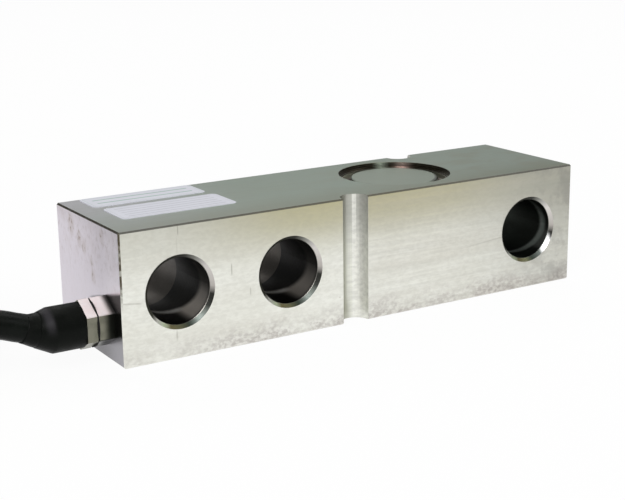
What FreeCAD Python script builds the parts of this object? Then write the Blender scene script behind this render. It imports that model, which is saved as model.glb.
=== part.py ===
"""Single-ended shear-beam load cell, lying on one side, with its cable wound into a hank.

Frame: X runs along the beam towards its load end, Y runs along the three cross holes towards the
back face, Z is up.  The origin is the middle of the beam's underside.  All lengths are millimetres.
"""
import FreeCAD, Part
import math
import os
from types import SimpleNamespace

import Sketcher
from FreeCAD import Placement, Rotation, Vector

# ---------------------------------------------------------------------------------------------
# Driving dimensions: (name in the sheet, value, what it is)
# ---------------------------------------------------------------------------------------------
DRIVING = [
    ("BeamLength", 171.5, "beam, end face to end face"),
    ("BeamDepth", 47.6, "beam, front face to back face, along the cross holes"),
    ("BeamHeight", 41.3, "beam, underside to top as it lies"),
    ("EdgeBreak", 0.5, "chamfer on the twelve long and short edges of the beam"),
    ("HoleDiameter", 20.6, "three cross holes"),
    ("HoleChamfer", 1.2, "45 degree chamfer at both mouths of a cross hole"),
    ("FirstHoleInset", 19.05, "first mounting hole from the cable end"),
    ("MountHolePitch", 38.1, "between the two mounting holes"),
    ("LoadHoleInset", 19.1, "load hole from the load end"),
    ("GrooveRadius", 4.75, "half-round transverse groove"),
    ("GrooveExtraDepth", 0.3, "how far the groove's centre lies inside the face"),
    ("FrontGrooveAt", 81.2, "groove in the front face, from the cable end"),
    ("BackGrooveAt", 130.5, "groove in the back face, from the cable end"),
    ("GaugePocketAt", 112.7, "axis of the two gauge pockets, from the cable end"),
    ("PocketMouthRadius", 19.05, "counterbore at the mouth of a gauge pocket"),
    ("PocketMouthDepth", 1.9, "depth of that counterbore"),
    ("PocketRadius", 17.8, "gauge pocket, down to the seat of its cover"),
    ("CoverSeatDepth", 5.2, "ledge that the cover's brim is welded to, below the face"),
    ("GaugeBoreRadius", 16.0, "gauge pocket, from that ledge to the web"),
    ("WebThickness", 12.0, "shear web left between the two gauge pockets"),
    ("CoverSheet", 0.8, "sheet thickness of a gauge cover"),
    ("CoverCrownRadius", 14.83, "flat raised middle of a gauge cover"),
    ("CoverCrownDrop", 1.24, "crown of a gauge cover below the beam's face"),
    ("CoverCornerBreak", 0.4, "edge of the crown"),
    ("WeldBead", 0.5, "weld bead at the rim of a gauge cover"),
    ("WebHoleRadius", 1.2, "wire hole through the shear web"),
    ("WebHoleOffsetX", 9.6, "wire hole, towards the cable end from the pocket's axis"),
    ("WebHoleFromBoard", 2.8, "wire hole, towards the back from the bridge board's middle"),
    ("GlandOffset", 12.0, "cable gland's axis from the beam's middle plane, towards the front"),
    ("GlandHeight", 12.3, "cable gland's axis above the underside"),
    ("GlandHoleRadius", 6.0, "threaded gland hole in the end face"),
    ("GlandHoleDepth", 12.0, "depth of the gland hole"),
    ("SpigotLength", 5.0, "gland body's threaded spigot inside the beam"),
    ("HexFlats", 13.5, "across the flats of gland body and locknut"),
    ("HexTurnedRadius", 7.68, "turned corners of both hexagons"),
    ("HexLength", 5.1, "hexagon of the gland body"),
    ("WasherRadius", 7.3, "black washer between the two hexagons"),
    ("WasherThickness", 0.5, "that washer"),
    ("LocknutLength", 3.2, "thin hexagonal locknut"),
    ("StubRadius", 5.7, "gland body's outer threaded stub"),
    ("StubLength", 12.4, "that stub, from the hexagon outwards"),
    ("GlandBoreRadius", 4.4, "bore of the gland body, for the cable"),
    ("SealRadius", 5.0, "rubber seal pressed into the stub's mouth"),
    ("SealLength", 5.0, "that seal"),
    ("BootRadius", 6.9, "rubber boot, its round body"),
    ("BootBodyLength", 9.3, "that body, from the locknut outwards"),
    ("NeckRadius", 5.25, "end of the boot's neck, round the cable"),
    ("NeckTurn", 13.0, "degrees that the cable has turned where the neck ends"),
    ("ShoulderRounding", 1.2, "rounding between the boot's body and neck"),
    ("NeckRounding", 0.5, "rounding of the neck's end"),
    ("ChannelRadius", 1.6, "wire channel from the gland hole to the lower pocket"),
    ("ChannelHeight", 7.6, "that channel's axis above the underside"),
    ("CoreRadius", 0.5, "insulated signal core inside the cell"),
    ("CoreSpacing", 1.1, "between two cores side by side"),
    ("CoreBend", 2.0, "bend radius of a core inside the cell"),
    ("CableRadius", 4.25, "outer jacket of the cable"),
    ("JacketInset", 6.25, "where the jacket starts inside the gland, outwards from the end face"),
    ("FirstRun", 15.0, "straight run of the cable out of the gland, before its rise"),
    ("RiseRun", 15.0, "rising run"),
    ("CrestRun", 14.0, "run over the crest, and the one down from it"),
    ("RiseAngle", 22.0, "degrees that the rising run climbs"),
    ("CrestAngle", 3.0, "degrees that the crest still climbs"),
    ("FallAngle", 9.0, "degrees that the next run falls"),
    ("LandingRun", 13.9, "last run of the free cable, down to its layer of the hank"),
    ("GaugeLength", 12.0, "strain gauge carrier along X"),
    ("GaugeWidth", 9.0, "strain gauge carrier along Y"),
    ("GaugeThickness", 0.15, "strain gauge carrier"),
    ("GridLength", 4.2, "measuring grid, along the strain"),
    ("GridWidth", 3.0, "measuring grid, across the strain"),
    ("GridThickness", 0.08, "foil and cover of a measuring grid"),
    ("BoardLength", 13.0, "bridge board along X"),
    ("BoardWidth", 5.4, "bridge board along Y"),
    ("BoardThickness", 1.0, "bridge board"),
    ("BoardShift", 0.6, "bridge board's middle, towards the back from the gland's axis"),
    ("BoardPadThickness", 0.5, "adhesive pad under the bridge board"),
    ("ResistorRadius", 0.55, "span and zero resistors on the board"),
    ("ResistorLength", 2.4, "those resistors"),
    ("LeadRadius", 0.2, "fine gauge leads"),
    ("LabelThickness", 0.15, "self-adhesive label"),
    ("LabelLength", 38.9, "both labels along X"),
    ("LabelCorner", 1.6, "corner radius of a label"),
    ("FrontLabelWidth", 15.8, "label nearer to the front face"),
    ("FrontLabelAt", 27.5, "its middle, from the cable end"),
    ("FrontLabelInset", 22.3, "its middle, from the front face"),
    ("BackLabelWidth", 12.8, "label nearer to the back face"),
    ("BackLabelAt", 26.5, "its middle, from the cable end"),
    ("BackLabelInset", 40.3, "its middle, from the front face"),
    ("TurnPitch", 9.0, "between neighbouring turns of the hank"),
    ("HankBend", 25.5, "bend radius of the inner turns of the hank"),
    ("HankStraight", 105.0, "straight side of the hank"),
    ("HankGap", 63.65, "centre of the hank's near bend from the beam's end face"),
    ("HankEdge", 3.0, "rounding of the hank's outer edges"),
    ("TieThickness", 1.2, "tie round the hank"),
    ("TieWidth", 3.6, "that tie"),
    ("TieHeadWidth", 5.6, "its head, across the strap"),
    ("TieHeadDepth", 4.2, "its head, away from the strap"),
    ("TieHeadHeight", 5.0, "its head, along the strap"),
    ("TieHeadDrop", 9.0, "top of the hank to the head's lower end"),
    ("FrontTieAt", 10.6, "tie round the hank's front side, from the centre of its near bend"),
    ("BackTieAt", 55.6, "tie round the hank's back side, from the centre of its near bend"),
    ("EndRunLength", 28.6, "last stretch of jacket, lying on the hank"),
    ("SleeveRadius", 4.45, "shrink sleeve over the end of the jacket"),
    ("SleeveLength", 22.0, "that sleeve"),
    ("SleeveOverlap", 10.0, "how much of the jacket it covers"),
    ("SleeveTipRadius", 2.9, "sleeve where the stripped cores come out"),
    ("TailRadius", 0.65, "stripped core of the cable"),
    ("TipRadius", 0.4, "tinned tip of a core, and the bare drain wire"),
    ("TipLength", 6.0, "bare length of a tinned tip"),
]

doc = FreeCAD.newDocument("ShearBeamCell")
sheet = doc.addObject("Spreadsheet::Sheet", "Sizes")


class Size:
    """A length that carries its number together with the sheet expression that gives it."""

    def __init__(self, number, text):
        self.number = number
        self.text = text

    def __add__(self, other):
        other = as_size(other)
        return Size(self.number + other.number, f"({self.text} + {other.text})")

    def __sub__(self, other):
        other = as_size(other)
        return Size(self.number - other.number, f"({self.text} - {other.text})")

    def __mul__(self, other):
        other = as_size(other)
        return Size(self.number * other.number, f"({self.text} * {other.text})")

    def __truediv__(self, other):
        other = as_size(other)
        return Size(self.number / other.number, f"({self.text} / {other.text})")

    def __neg__(self):
        return Size(-self.number, f"(0 - {self.text})")

    def __float__(self):
        return self.number


def as_size(value):
    """A plain number as a Size, so that sums can mix the two."""
    return value if isinstance(value, Size) else Size(float(value), f"{float(value):.9g}")


def fill_sheet():
    """Writes the driving dimensions into the sheet and returns them by name."""
    for row, (alias, value, meaning) in enumerate(DRIVING, start=1):
        sheet.set(f"A{row}", meaning)
        sheet.set(f"B{row}", str(value))
        sheet.setAlias(f"B{row}", alias)
    doc.recompute()
    return SimpleNamespace(**{alias: Size(float(sheet.get(alias)), f"Sizes.{alias}") for alias, *_ in DRIVING})


d = fill_sheet()

# Places that several pieces share, worked out from the driving dimensions.
CABLE_END = -(d.BeamLength / 2)
LOAD_END = d.BeamLength / 2
FRONT = -(d.BeamDepth / 2)
BACK = d.BeamDepth / 2
MIDDLE = d.BeamHeight / 2
POCKET_X = CABLE_END + d.GaugePocketAt
POCKET_FLOOR = (d.BeamHeight - d.WebThickness) / 2
GLAND_Y = -d.GlandOffset
HEX_OUT = CABLE_END - d.HexLength
WASHER_OUT = HEX_OUT - d.WasherThickness
LOCKNUT_OUT = WASHER_OUT - d.LocknutLength
STUB_OUT = HEX_OUT - d.StubLength
BOARD_Y = GLAND_Y + d.BoardShift
WEB_HOLE_X = POCKET_X - d.WebHoleOffsetX
WEB_HOLE_Y = BOARD_Y + d.WebHoleFromBoard
BOARD_FACE = POCKET_FLOOR - d.BoardPadThickness - d.BoardThickness
JACKET_START = CABLE_END - d.JacketInset

# ---------------------------------------------------------------------------------------------
# Building blocks
# ---------------------------------------------------------------------------------------------
nodes = []


def keep(piece, label):
    """Registers a finished piece under the name of its file."""
    piece.Label = label
    nodes.append(piece)
    return piece


def bind(thing, path, size):
    thing.setExpression(path, as_size(size).text)


def place(thing, x=0.0, y=0.0, z=0.0, rotation=None):
    """Puts a primitive somewhere, with each coordinate bound to the sheet."""
    if rotation is not None:
        thing.Placement = Placement(Vector(0, 0, 0), rotation)
    for axis, value in zip("xyz", (x, y, z)):
        bind(thing, f"Placement.Base.{axis}", value)
    return thing


def new_body(name):
    return doc.addObject("PartDesign::Body", name)


def sketch_on(body, name, role, offset=0.0):
    """A sketch on one of the body's own origin planes, moved along the plane's normal."""
    plane = next(feature for feature in body.Origin.OriginFeatures if feature.Role == role)
    sketch = body.newObject("Sketcher::SketchObject", name)
    sketch.AttachmentSupport = [(plane, "")]
    sketch.MapMode = "FlatFace"
    if isinstance(offset, Size) or offset:
        bind(sketch, "AttachmentOffset.Base.z", offset)
    return sketch


def pin_point(sketch, geometry, vertex, x, y):
    """Fixes a point of a sketch at coordinates bound to the sheet."""
    for kind, value in (("DistanceX", as_size(x)), ("DistanceY", as_size(y))):
        index = sketch.addConstraint(Sketcher.Constraint(kind, -1, 1, geometry, vertex, value.number))
        sketch.setExpression(f"Constraints[{index}]", value.text)


def set_radius(sketch, geometry, radius):
    index = sketch.addConstraint(Sketcher.Constraint("Radius", geometry, float(radius)))
    sketch.setExpression(f"Constraints[{index}]", as_size(radius).text)


def add_circle(sketch, x, y, radius):
    centre = Vector(float(x), float(y), 0)
    circle = sketch.addGeometry(Part.Circle(centre, Vector(0, 0, 1), float(radius)))
    pin_point(sketch, circle, 3, x, y)
    set_radius(sketch, circle, radius)


def add_outline(sketch, corners):
    """A closed outline of straight lines through the given corners."""
    spots = [Vector(float(x), float(y), 0) for x, y in corners]
    lines = []
    for here, following in zip(spots, spots[1:] + spots[:1]):
        lines.append(sketch.addGeometry(Part.LineSegment(here, following)))
    for line, following in zip(lines, lines[1:] + lines[:1]):
        sketch.addConstraint(Sketcher.Constraint("Coincident", line, 2, following, 1))
    for line, (x, y) in zip(lines, corners):
        pin_point(sketch, line, 1, x, y)


def add_rectangle(sketch, x, y, length, width):
    """A rectangle of that length and width round its middle (x, y)."""
    left, right = x - length / 2, x + length / 2
    low, high = y - width / 2, y + width / 2
    add_outline(sketch, [(left, low), (right, low), (right, high), (left, high)])


def add_racetrack(sketch, left, right, y, radius):
    """Two half circles joined by two straight sides."""
    xl, xr, yc, r = float(left), float(right), float(y), float(radius)
    up, quarter = Vector(0, 0, 1), math.pi / 2
    left_arc = sketch.addGeometry(Part.ArcOfCircle(Part.Circle(Vector(xl, yc, 0), up, r), quarter, 3 * quarter))
    right_arc = sketch.addGeometry(Part.ArcOfCircle(Part.Circle(Vector(xr, yc, 0), up, r), -quarter, quarter))
    far_side = sketch.addGeometry(Part.LineSegment(Vector(xl, yc + r, 0), Vector(xr, yc + r, 0)))
    near_side = sketch.addGeometry(Part.LineSegment(Vector(xr, yc - r, 0), Vector(xl, yc - r, 0)))
    for first, end, second, start in (
        (left_arc, 1, far_side, 1),
        (far_side, 2, right_arc, 2),
        (right_arc, 1, near_side, 1),
        (near_side, 2, left_arc, 2),
    ):
        sketch.addConstraint(Sketcher.Constraint("Tangent", first, end, second, start))
    sketch.addConstraint(Sketcher.Constraint("Equal", left_arc, right_arc))
    pin_point(sketch, left_arc, 3, left, y)
    pin_point(sketch, right_arc, 3, right, y)
    set_radius(sketch, left_arc, radius)


def pad(body, sketch, length, name):
    feature = body.newObject("PartDesign::Pad", name)
    feature.Profile = sketch
    bind(feature, "Length", length)
    return feature


def pocket(body, sketch, name, length=None, both_ways=False):
    """A pocket along the sketch's normal; with no length it goes right through."""
    feature = body.newObject("PartDesign::Pocket", name)
    feature.Profile = sketch
    feature.Reversed = not both_ways
    if both_ways:
        feature.Midplane = True
    if length is None:
        feature.Type = "ThroughAll"
    else:
        bind(feature, "Length", length)
    return feature


def turned(body, sketch, name, remove=False):
    """Revolves a sketch about its first construction line."""
    feature = body.newObject("PartDesign::Groove" if remove else "PartDesign::Revolution", name)
    feature.Profile = sketch
    feature.ReferenceAxis = (sketch, ["Axis0"])
    feature.Angle = 360
    return feature


def add_axis(sketch, x0, y0, x1, y1):
    """The construction line that a turned profile goes round."""
    line = sketch.addGeometry(Part.LineSegment(Vector(float(x0), float(y0), 0), Vector(float(x1), float(y1), 0)), True)
    pin_point(sketch, line, 1, x0, y0)
    pin_point(sketch, line, 2, x1, y1)


def edges_where(feature, wanted):
    """Names of the feature's edges that a test picks."""
    doc.recompute()
    return [f"Edge{i}" for i, edge in enumerate(feature.Shape.Edges, start=1) if wanted(edge)]


def is_straight_along(edge, axis):
    """True for a straight edge parallel to the given unit vector."""
    if not isinstance(edge.Curve, (Part.Line, Part.LineSegment)):
        return False
    first, last = edge.Vertexes[0].Point, edge.Vertexes[-1].Point
    return abs((last - first).normalize().dot(axis)) > 0.999


def is_circle(edge, radius):
    return isinstance(edge.Curve, Part.Circle) and abs(edge.Curve.Radius - float(radius)) < 1e-3


def round_edges(body, base, wanted, radius, name):
    feature = body.newObject("PartDesign::Fillet", name)
    feature.Base = (base, edges_where(base, wanted))
    bind(feature, "Radius", radius)
    return feature


def break_edges(body, base, wanted, size, name):
    feature = body.newObject("PartDesign::Chamfer", name)
    feature.Base = (base, edges_where(base, wanted))
    bind(feature, "Size", size)
    return feature


ALONG_X = Rotation(Vector(0, 1, 0), 90)  # turns a primitive's own axis from +Z to +X


def rod(name, radius, x_from, x_to, y=GLAND_Y, z=d.GlandHeight):
    """A cylinder along X, by default on the gland's axis."""
    cylinder = doc.addObject("Part::Cylinder", name)
    bind(cylinder, "Radius", radius)
    bind(cylinder, "Height", x_to - x_from)
    return place(cylinder, x_from, y, z, ALONG_X)


def taper(name, radius_from, radius_to, x_from, x_to, y, z):
    """A cone along X."""
    cone = doc.addObject("Part::Cone", name)
    bind(cone, "Radius1", radius_from)
    bind(cone, "Radius2", radius_to)
    bind(cone, "Height", x_to - x_from)
    return place(cone, x_from, y, z, ALONG_X)


def box(name, x, y, z, length, width, height):
    """A box from its lowest corner."""
    block = doc.addObject("Part::Box", name)
    for path, value in (("Length", length), ("Width", width), ("Height", height)):
        bind(block, path, value)
    return place(block, x, y, z)


def fused(name, pieces):
    feature = doc.addObject("Part::MultiFuse", name)
    feature.Shapes = pieces
    return feature


def cut(name, base, tool):
    feature = doc.addObject("Part::Cut", name)
    feature.Base = base
    feature.Tool = tool
    return feature


def common(name, pieces):
    feature = doc.addObject("Part::MultiCommon", name)
    feature.Shapes = pieces
    return feature


def hexagon(name, x_from, x_to):
    """A length of hexagonal bar on the gland's axis, flats to front and back, corners turned down."""
    prism = doc.addObject("Part::Prism", name + "Bar")
    prism.Polygon = 6
    bind(prism, "Circumradius", d.HexFlats / (2 * math.cos(math.pi / 6)))
    bind(prism, "Height", x_to - x_from)
    place(prism, x_from, GLAND_Y, d.GlandHeight, ALONG_X)
    return common(name, [prism, rod(name + "Turned", d.HexTurnedRadius, x_from, x_to)])


def rounded_wire(points, radii):
    """Straight runs joined by tangent arcs, one radius for each inner point."""
    edges, start = [], points[0]
    for before, corner, after, radius in zip(points, points[1:], points[2:], radii):
        back = (before - corner).normalize()
        ahead = (after - corner).normalize()
        half_turn = (math.pi - back.getAngle(ahead)) / 2
        setback = radius * math.tan(half_turn)
        middle = corner + (back + ahead).normalize() * (radius / math.cos(half_turn) - radius)
        enter, leave = corner + back * setback, corner + ahead * setback
        edges.append(Part.LineSegment(start, enter).toShape())
        edges.append(Part.Arc(enter, middle, leave).toShape())
        start = leave
    edges.append(Part.LineSegment(start, points[-1]).toShape())
    return Part.Wire(edges)


def tube_shape(wire, radius):
    """A solid round tube along a wire, with its volume compared with section times length."""
    first = wire.Edges[0]
    section = Part.Wire(Part.Circle(first.Vertexes[0].Point, first.tangentAt(first.FirstParameter), radius).toShape())
    solid = wire.makePipeShell([section], True, True)
    if solid.Volume < 0:
        solid.reverse()
    expected = math.pi * radius**2 * wire.Length
    if abs(solid.Volume / expected - 1) > 0.01:
        raise ValueError(f"tube volume {solid.Volume:.1f} is not {expected:.1f}")
    return solid


def wire_piece(name, routes, radius, bend):
    """One or more thin wires as separate solids of one feature."""
    solids = []
    for route in routes:
        points = [Vector(*(float(value) for value in point)) for point in route]
        path = rounded_wire(points, [float(bend)] * (len(points) - 2))
        solids.append(tube_shape(path, float(radius)))
    feature = doc.addObject("Part::Feature", name)
    feature.Shape = solids[0] if len(solids) == 1 else Part.makeCompound(solids)
    return feature


# ---------------------------------------------------------------------------------------------
# Beam
# ---------------------------------------------------------------------------------------------
HOLES = [
    CABLE_END + d.FirstHoleInset,
    CABLE_END + d.FirstHoleInset + d.MountHolePitch,
    LOAD_END - d.LoadHoleInset,
]


def pocket_profile(side):
    """Half section of a gauge pocket; side is +1 for the top face and -1 for the underside."""
    face = d.BeamHeight if side > 0 else as_size(0)

    def level(depth):
        return face - depth * side

    return [
        (POCKET_X, level(as_size(-1))),
        (POCKET_X + d.PocketMouthRadius, level(as_size(-1))),
        (POCKET_X + d.PocketMouthRadius, level(d.PocketMouthDepth)),
        (POCKET_X + d.PocketRadius, level(d.PocketMouthDepth)),
        (POCKET_X + d.PocketRadius, level(d.CoverSeatDepth)),
        (POCKET_X + d.GaugeBoreRadius, level(d.CoverSeatDepth)),
        (POCKET_X + d.GaugeBoreRadius, level(POCKET_FLOOR)),
        (POCKET_X, level(POCKET_FLOOR)),
    ]


def make_beam():
    body = new_body("Beam")
    section = sketch_on(body, "BeamSection", "XY_Plane")
    add_rectangle(section, as_size(0), as_size(0), d.BeamLength, d.BeamDepth)
    bar = pad(body, section, d.BeamHeight, "BeamBar")
    bar_broken = break_edges(body, bar, lambda edge: True, d.EdgeBreak, "BeamEdges")

    grooves = sketch_on(body, "GrooveSections", "XY_Plane")
    add_circle(grooves, CABLE_END + d.FrontGrooveAt, FRONT + d.GrooveExtraDepth, d.GrooveRadius)
    add_circle(grooves, CABLE_END + d.BackGrooveAt, BACK - d.GrooveExtraDepth, d.GrooveRadius)
    pocket(body, grooves, "TransverseGrooves")

    holes = sketch_on(body, "CrossHoleCircles", "XZ_Plane")
    for x in HOLES:
        add_circle(holes, x, MIDDLE, d.HoleDiameter / 2)
    drilled = pocket(body, holes, "CrossHoles", both_ways=True)
    break_edges(body, drilled, lambda edge: is_circle(edge, d.HoleDiameter / 2), d.HoleChamfer, "CrossHoleChamfers")

    for side, name in ((1, "Upper"), (-1, "Lower")):
        profile = sketch_on(body, f"{name}PocketProfile", "XZ_Plane")
        add_axis(profile, POCKET_X, as_size(0), POCKET_X, d.BeamHeight)
        add_outline(profile, pocket_profile(side))
        turned(body, profile, f"{name}GaugePocket", remove=True)

    gland_circle = sketch_on(body, "GlandHoleCircle", "YZ_Plane", CABLE_END)
    add_circle(gland_circle, GLAND_Y, d.GlandHeight, d.GlandHoleRadius)
    pocket(body, gland_circle, "GlandHole", d.GlandHoleDepth)

    channel_start = CABLE_END + d.GlandHoleDepth - d.ChannelRadius / 2
    channel = sketch_on(body, "ChannelCircle", "YZ_Plane", channel_start)
    add_circle(channel, GLAND_Y, d.ChannelHeight, d.ChannelRadius)
    pocket(body, channel, "WireChannel", POCKET_X - d.GaugeBoreRadius / 2 - channel_start)

    web_hole = sketch_on(body, "WebHoleCircle", "XY_Plane")
    add_circle(web_hole, WEB_HOLE_X, WEB_HOLE_Y, d.WebHoleRadius)
    pocket(body, web_hole, "WebHole")
    keep(body, "beam")
    return bar_broken


# ---------------------------------------------------------------------------------------------
# Gauge covers, gauges and the bridge board
# ---------------------------------------------------------------------------------------------
def make_cover(label, side):
    """A hat pressed from sheet: crown, wall and a brim that is welded to the pocket's ledge."""
    face = d.BeamHeight if side > 0 else as_size(0)

    def level(depth):
        return face - depth * side

    crown_top, crown_under = d.CoverCrownDrop, d.CoverCrownDrop + d.CoverSheet
    brim_top, brim_under = d.CoverSeatDepth - d.CoverSheet, d.CoverSeatDepth
    wall_out, wall_in = d.CoverCrownRadius, d.CoverCrownRadius - d.CoverSheet
    body = new_body(label.title().replace("_", ""))
    profile = sketch_on(body, f"{label}_profile", "XZ_Plane")
    add_axis(profile, POCKET_X, as_size(0), POCKET_X, d.BeamHeight)
    add_outline(
        profile,
        [
            (POCKET_X, level(crown_top)),
            (POCKET_X + wall_out - d.CoverCornerBreak, level(crown_top)),
            (POCKET_X + wall_out, level(crown_top + d.CoverCornerBreak)),
            (POCKET_X + wall_out, level(brim_top)),
            (POCKET_X + d.PocketRadius - d.WeldBead * 2, level(brim_top)),
            (POCKET_X + d.PocketRadius - d.WeldBead, level(brim_top - d.WeldBead)),
            (POCKET_X + d.PocketRadius, level(brim_top - d.WeldBead)),
            (POCKET_X + d.PocketRadius, level(brim_under)),
            (POCKET_X + wall_in, level(brim_under)),
            (POCKET_X + wall_in, level(crown_under)),
            (POCKET_X, level(crown_under)),
        ],
    )
    turned(body, profile, f"{label}_shell")
    return keep(body, label)


def make_gauge(label, side):
    """A foil rosette on the web: a thin carrier with two grids at 45 degrees to the beam."""
    web_face = d.BeamHeight - POCKET_FLOOR if side > 0 else POCKET_FLOOR
    low = web_face if side > 0 else web_face - d.GaugeThickness
    carrier = box(
        f"{label}_carrier", POCKET_X - d.GaugeLength / 2, -(d.GaugeWidth / 2), low,
        d.GaugeLength, d.GaugeWidth, d.GaugeThickness,
    )
    grids = []
    for sign in (-1, 1):
        grid = doc.addObject("Part::Box", f"{label}_grid{len(grids)}")
        bind(grid, "Length", d.GridLength)
        bind(grid, "Width", d.GridWidth)
        bind(grid, "Height", d.GridThickness)
        # lowest corner of a grid that is turned by 45 degrees about its own middle
        corner_x = POCKET_X + d.GaugeLength * (sign * 0.23) - (d.GridLength + d.GridWidth * sign) / (2 * math.sqrt(2))
        corner_y = (d.GridLength * sign - d.GridWidth) / (2 * math.sqrt(2))
        height = web_face + d.GaugeThickness if side > 0 else low - d.GridThickness
        place(grid, corner_x, corner_y, height, Rotation(Vector(0, 0, 1), 45 * -sign))
        grids.append(grid)
    return keep(fused(label.title().replace("_", ""), [carrier, *grids]), label)


def make_board():
    """Terminal board under the web in the lower pocket, on its adhesive pad."""
    pad_low = POCKET_FLOOR - d.BoardPadThickness
    x, y = POCKET_X - d.BoardLength / 2, BOARD_Y - d.BoardWidth / 2
    keep(box("BoardPad", x, y, pad_low, d.BoardLength, d.BoardWidth, d.BoardPadThickness), "board_pad")
    keep(box("BridgeBoard", x, y, BOARD_FACE, d.BoardLength, d.BoardWidth, d.BoardThickness), "bridge_board")
    resistors = []
    for index in range(2):
        resistors.append(
            rod(
                f"Resistor{index}", d.ResistorRadius,
                POCKET_X + d.BoardLength * 0.28, POCKET_X + d.BoardLength * 0.28 + d.ResistorLength,
                BOARD_Y - d.BoardWidth / 4 + d.BoardWidth / 2 * index, BOARD_FACE - d.ResistorRadius,
            )
        )
    keep(fused("BridgeResistors", resistors), "bridge_resistors")


CORES = [
    # colour, side of the bundle (towards the front is -1), upper or lower row, landing place along X
    ("red", 1, 1, -5.5),
    ("black", -1, 1, -4.0),
    ("green", 1, -1, -1.0),
    ("white", -1, -1, 0.5),
]


def make_inner_cores():
    """Four cores from the jacket's end in the gland, through the channel, to the bridge board."""
    for colour, across, row, landing in CORES:
        y = GLAND_Y + d.CoreSpacing / 2 * across
        rise = d.CoreSpacing / 2 * row
        bundle, channel = d.GlandHeight + rise, d.ChannelHeight + rise
        end_x = POCKET_X + landing
        step = (BOARD_FACE - channel) / 2
        route = [
            (JACKET_START, y, bundle),
            (CABLE_END - 3, y, bundle),
            (CABLE_END + d.GlandHoleDepth - 2, y, channel),
            (end_x - step, y, channel),
            (end_x, y, channel + step),
            (end_x, y, BOARD_FACE),
        ]
        keep(wire_piece(f"Core{colour.title()}", [route], d.CoreRadius, d.CoreBend / 2), f"core_{colour}")


def make_gauge_leads():
    """Fine leads from each gauge's tabs to the inner edge of the bridge board."""
    board_edge = BOARD_Y + d.BoardWidth / 2
    tab_y = -(d.GaugeWidth / 2) + 0.6
    lower_tab, upper_tab = POCKET_FLOOR - d.GaugeThickness, d.BeamHeight - POCKET_FLOOR + d.GaugeThickness
    sag = BOARD_FACE - 0.9
    lower = [
        [
            (POCKET_X + x, tab_y, lower_tab),
            (POCKET_X + x, tab_y, sag),
            (POCKET_X + x, board_edge - 0.8, sag),
            (POCKET_X + x, board_edge - 0.8, BOARD_FACE),
        ]
        for x in (-2.4, -0.8, 0.8, 2.4)
    ]
    keep(wire_piece("LowerGaugeLeads", lower, d.LeadRadius, d.LeadRadius * 2), "lower_gauge_leads")
    upper = []
    for index, x in enumerate((-2.4, -0.8, 0.8, 2.4)):
        beside = 0.55 if index % 2 else -0.55
        along = 0.55 if index > 1 else -0.55
        over = upper_tab + 1.0 + 0.6 * index
        under = sag - 0.6 - 0.6 * index
        landing_x, landing_y = POCKET_X - 5.9 + 0.6 * index, board_edge - 0.6 - 0.4 * (3 - index)
        upper.append(
            [
                (POCKET_X + x, tab_y, upper_tab),
                (POCKET_X + x, tab_y, over),
                (WEB_HOLE_X + along, WEB_HOLE_Y + beside, over),
                (WEB_HOLE_X + along, WEB_HOLE_Y + beside, under),
                (landing_x, landing_y, under),
                (landing_x, landing_y, BOARD_FACE),
            ]
        )
    keep(wire_piece("UpperGaugeLeads", upper, d.LeadRadius, d.LeadRadius * 2), "upper_gauge_leads")


# ---------------------------------------------------------------------------------------------
# Labels
# ---------------------------------------------------------------------------------------------
def make_label(label, at, inset, width):
    body = new_body(label.title().replace("_", ""))
    sketch = sketch_on(body, f"{label}_outline", "XY_Plane", d.BeamHeight)
    add_rectangle(sketch, CABLE_END + at, FRONT + inset, d.LabelLength, width)
    sheet_pad = pad(body, sketch, d.LabelThickness, f"{label}_sheet")
    upright = Vector(0, 0, 1)
    round_edges(body, sheet_pad, lambda edge: is_straight_along(edge, upright), d.LabelCorner, f"{label}_corners")
    return keep(body, label)


# ---------------------------------------------------------------------------------------------
# Gland, boot and cable
# ---------------------------------------------------------------------------------------------
SETBACK = 0.45  # share of the shorter run that each arc takes


def cable_points():
    """From inside the gland, up over a crest and down onto the hank's second layer."""
    points = [Vector(float(JACKET_START), float(GLAND_Y), float(d.GlandHeight))]
    for run, climb in (
        (d.FirstRun, 0.0),
        (d.RiseRun, float(d.RiseAngle)),
        (d.CrestRun, float(d.CrestAngle)),
        (d.CrestRun, -float(d.FallAngle)),
    ):
        slope = math.radians(climb)
        points.append(points[-1] + Vector(-math.cos(slope), 0, math.sin(slope)) * float(run))
    landing = Vector(points[-1].x - float(d.LandingRun), float(GLAND_Y), float(HANK_BASE + d.TurnPitch * 1.5))
    return points + [landing]


def bend_radius(before, corner, after):
    """Radius of the largest arc that two runs leave room for."""
    half_turn = (math.pi - (before - corner).getAngle(after - corner)) / 2
    shorter = min((before - corner).Length, (after - corner).Length)
    return SETBACK * shorter / math.tan(half_turn)


def make_cable():
    """The free run of the cable, as straight runs joined by arcs."""
    points = cable_points()
    radii = [bend_radius(*three) for three in zip(points, points[1:], points[2:])]
    print("cable points:", [(round(p.x, 2), round(p.y, 2), round(p.z, 2)) for p in points])
    print("cable radii in diameters:", [round(r / (2 * float(d.CableRadius)), 1) for r in radii])
    feature = doc.addObject("Part::Feature", "Cable")
    feature.Shape = tube_shape(rounded_wire(points, radii), float(d.CableRadius))
    return keep(feature, "cable")


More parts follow.
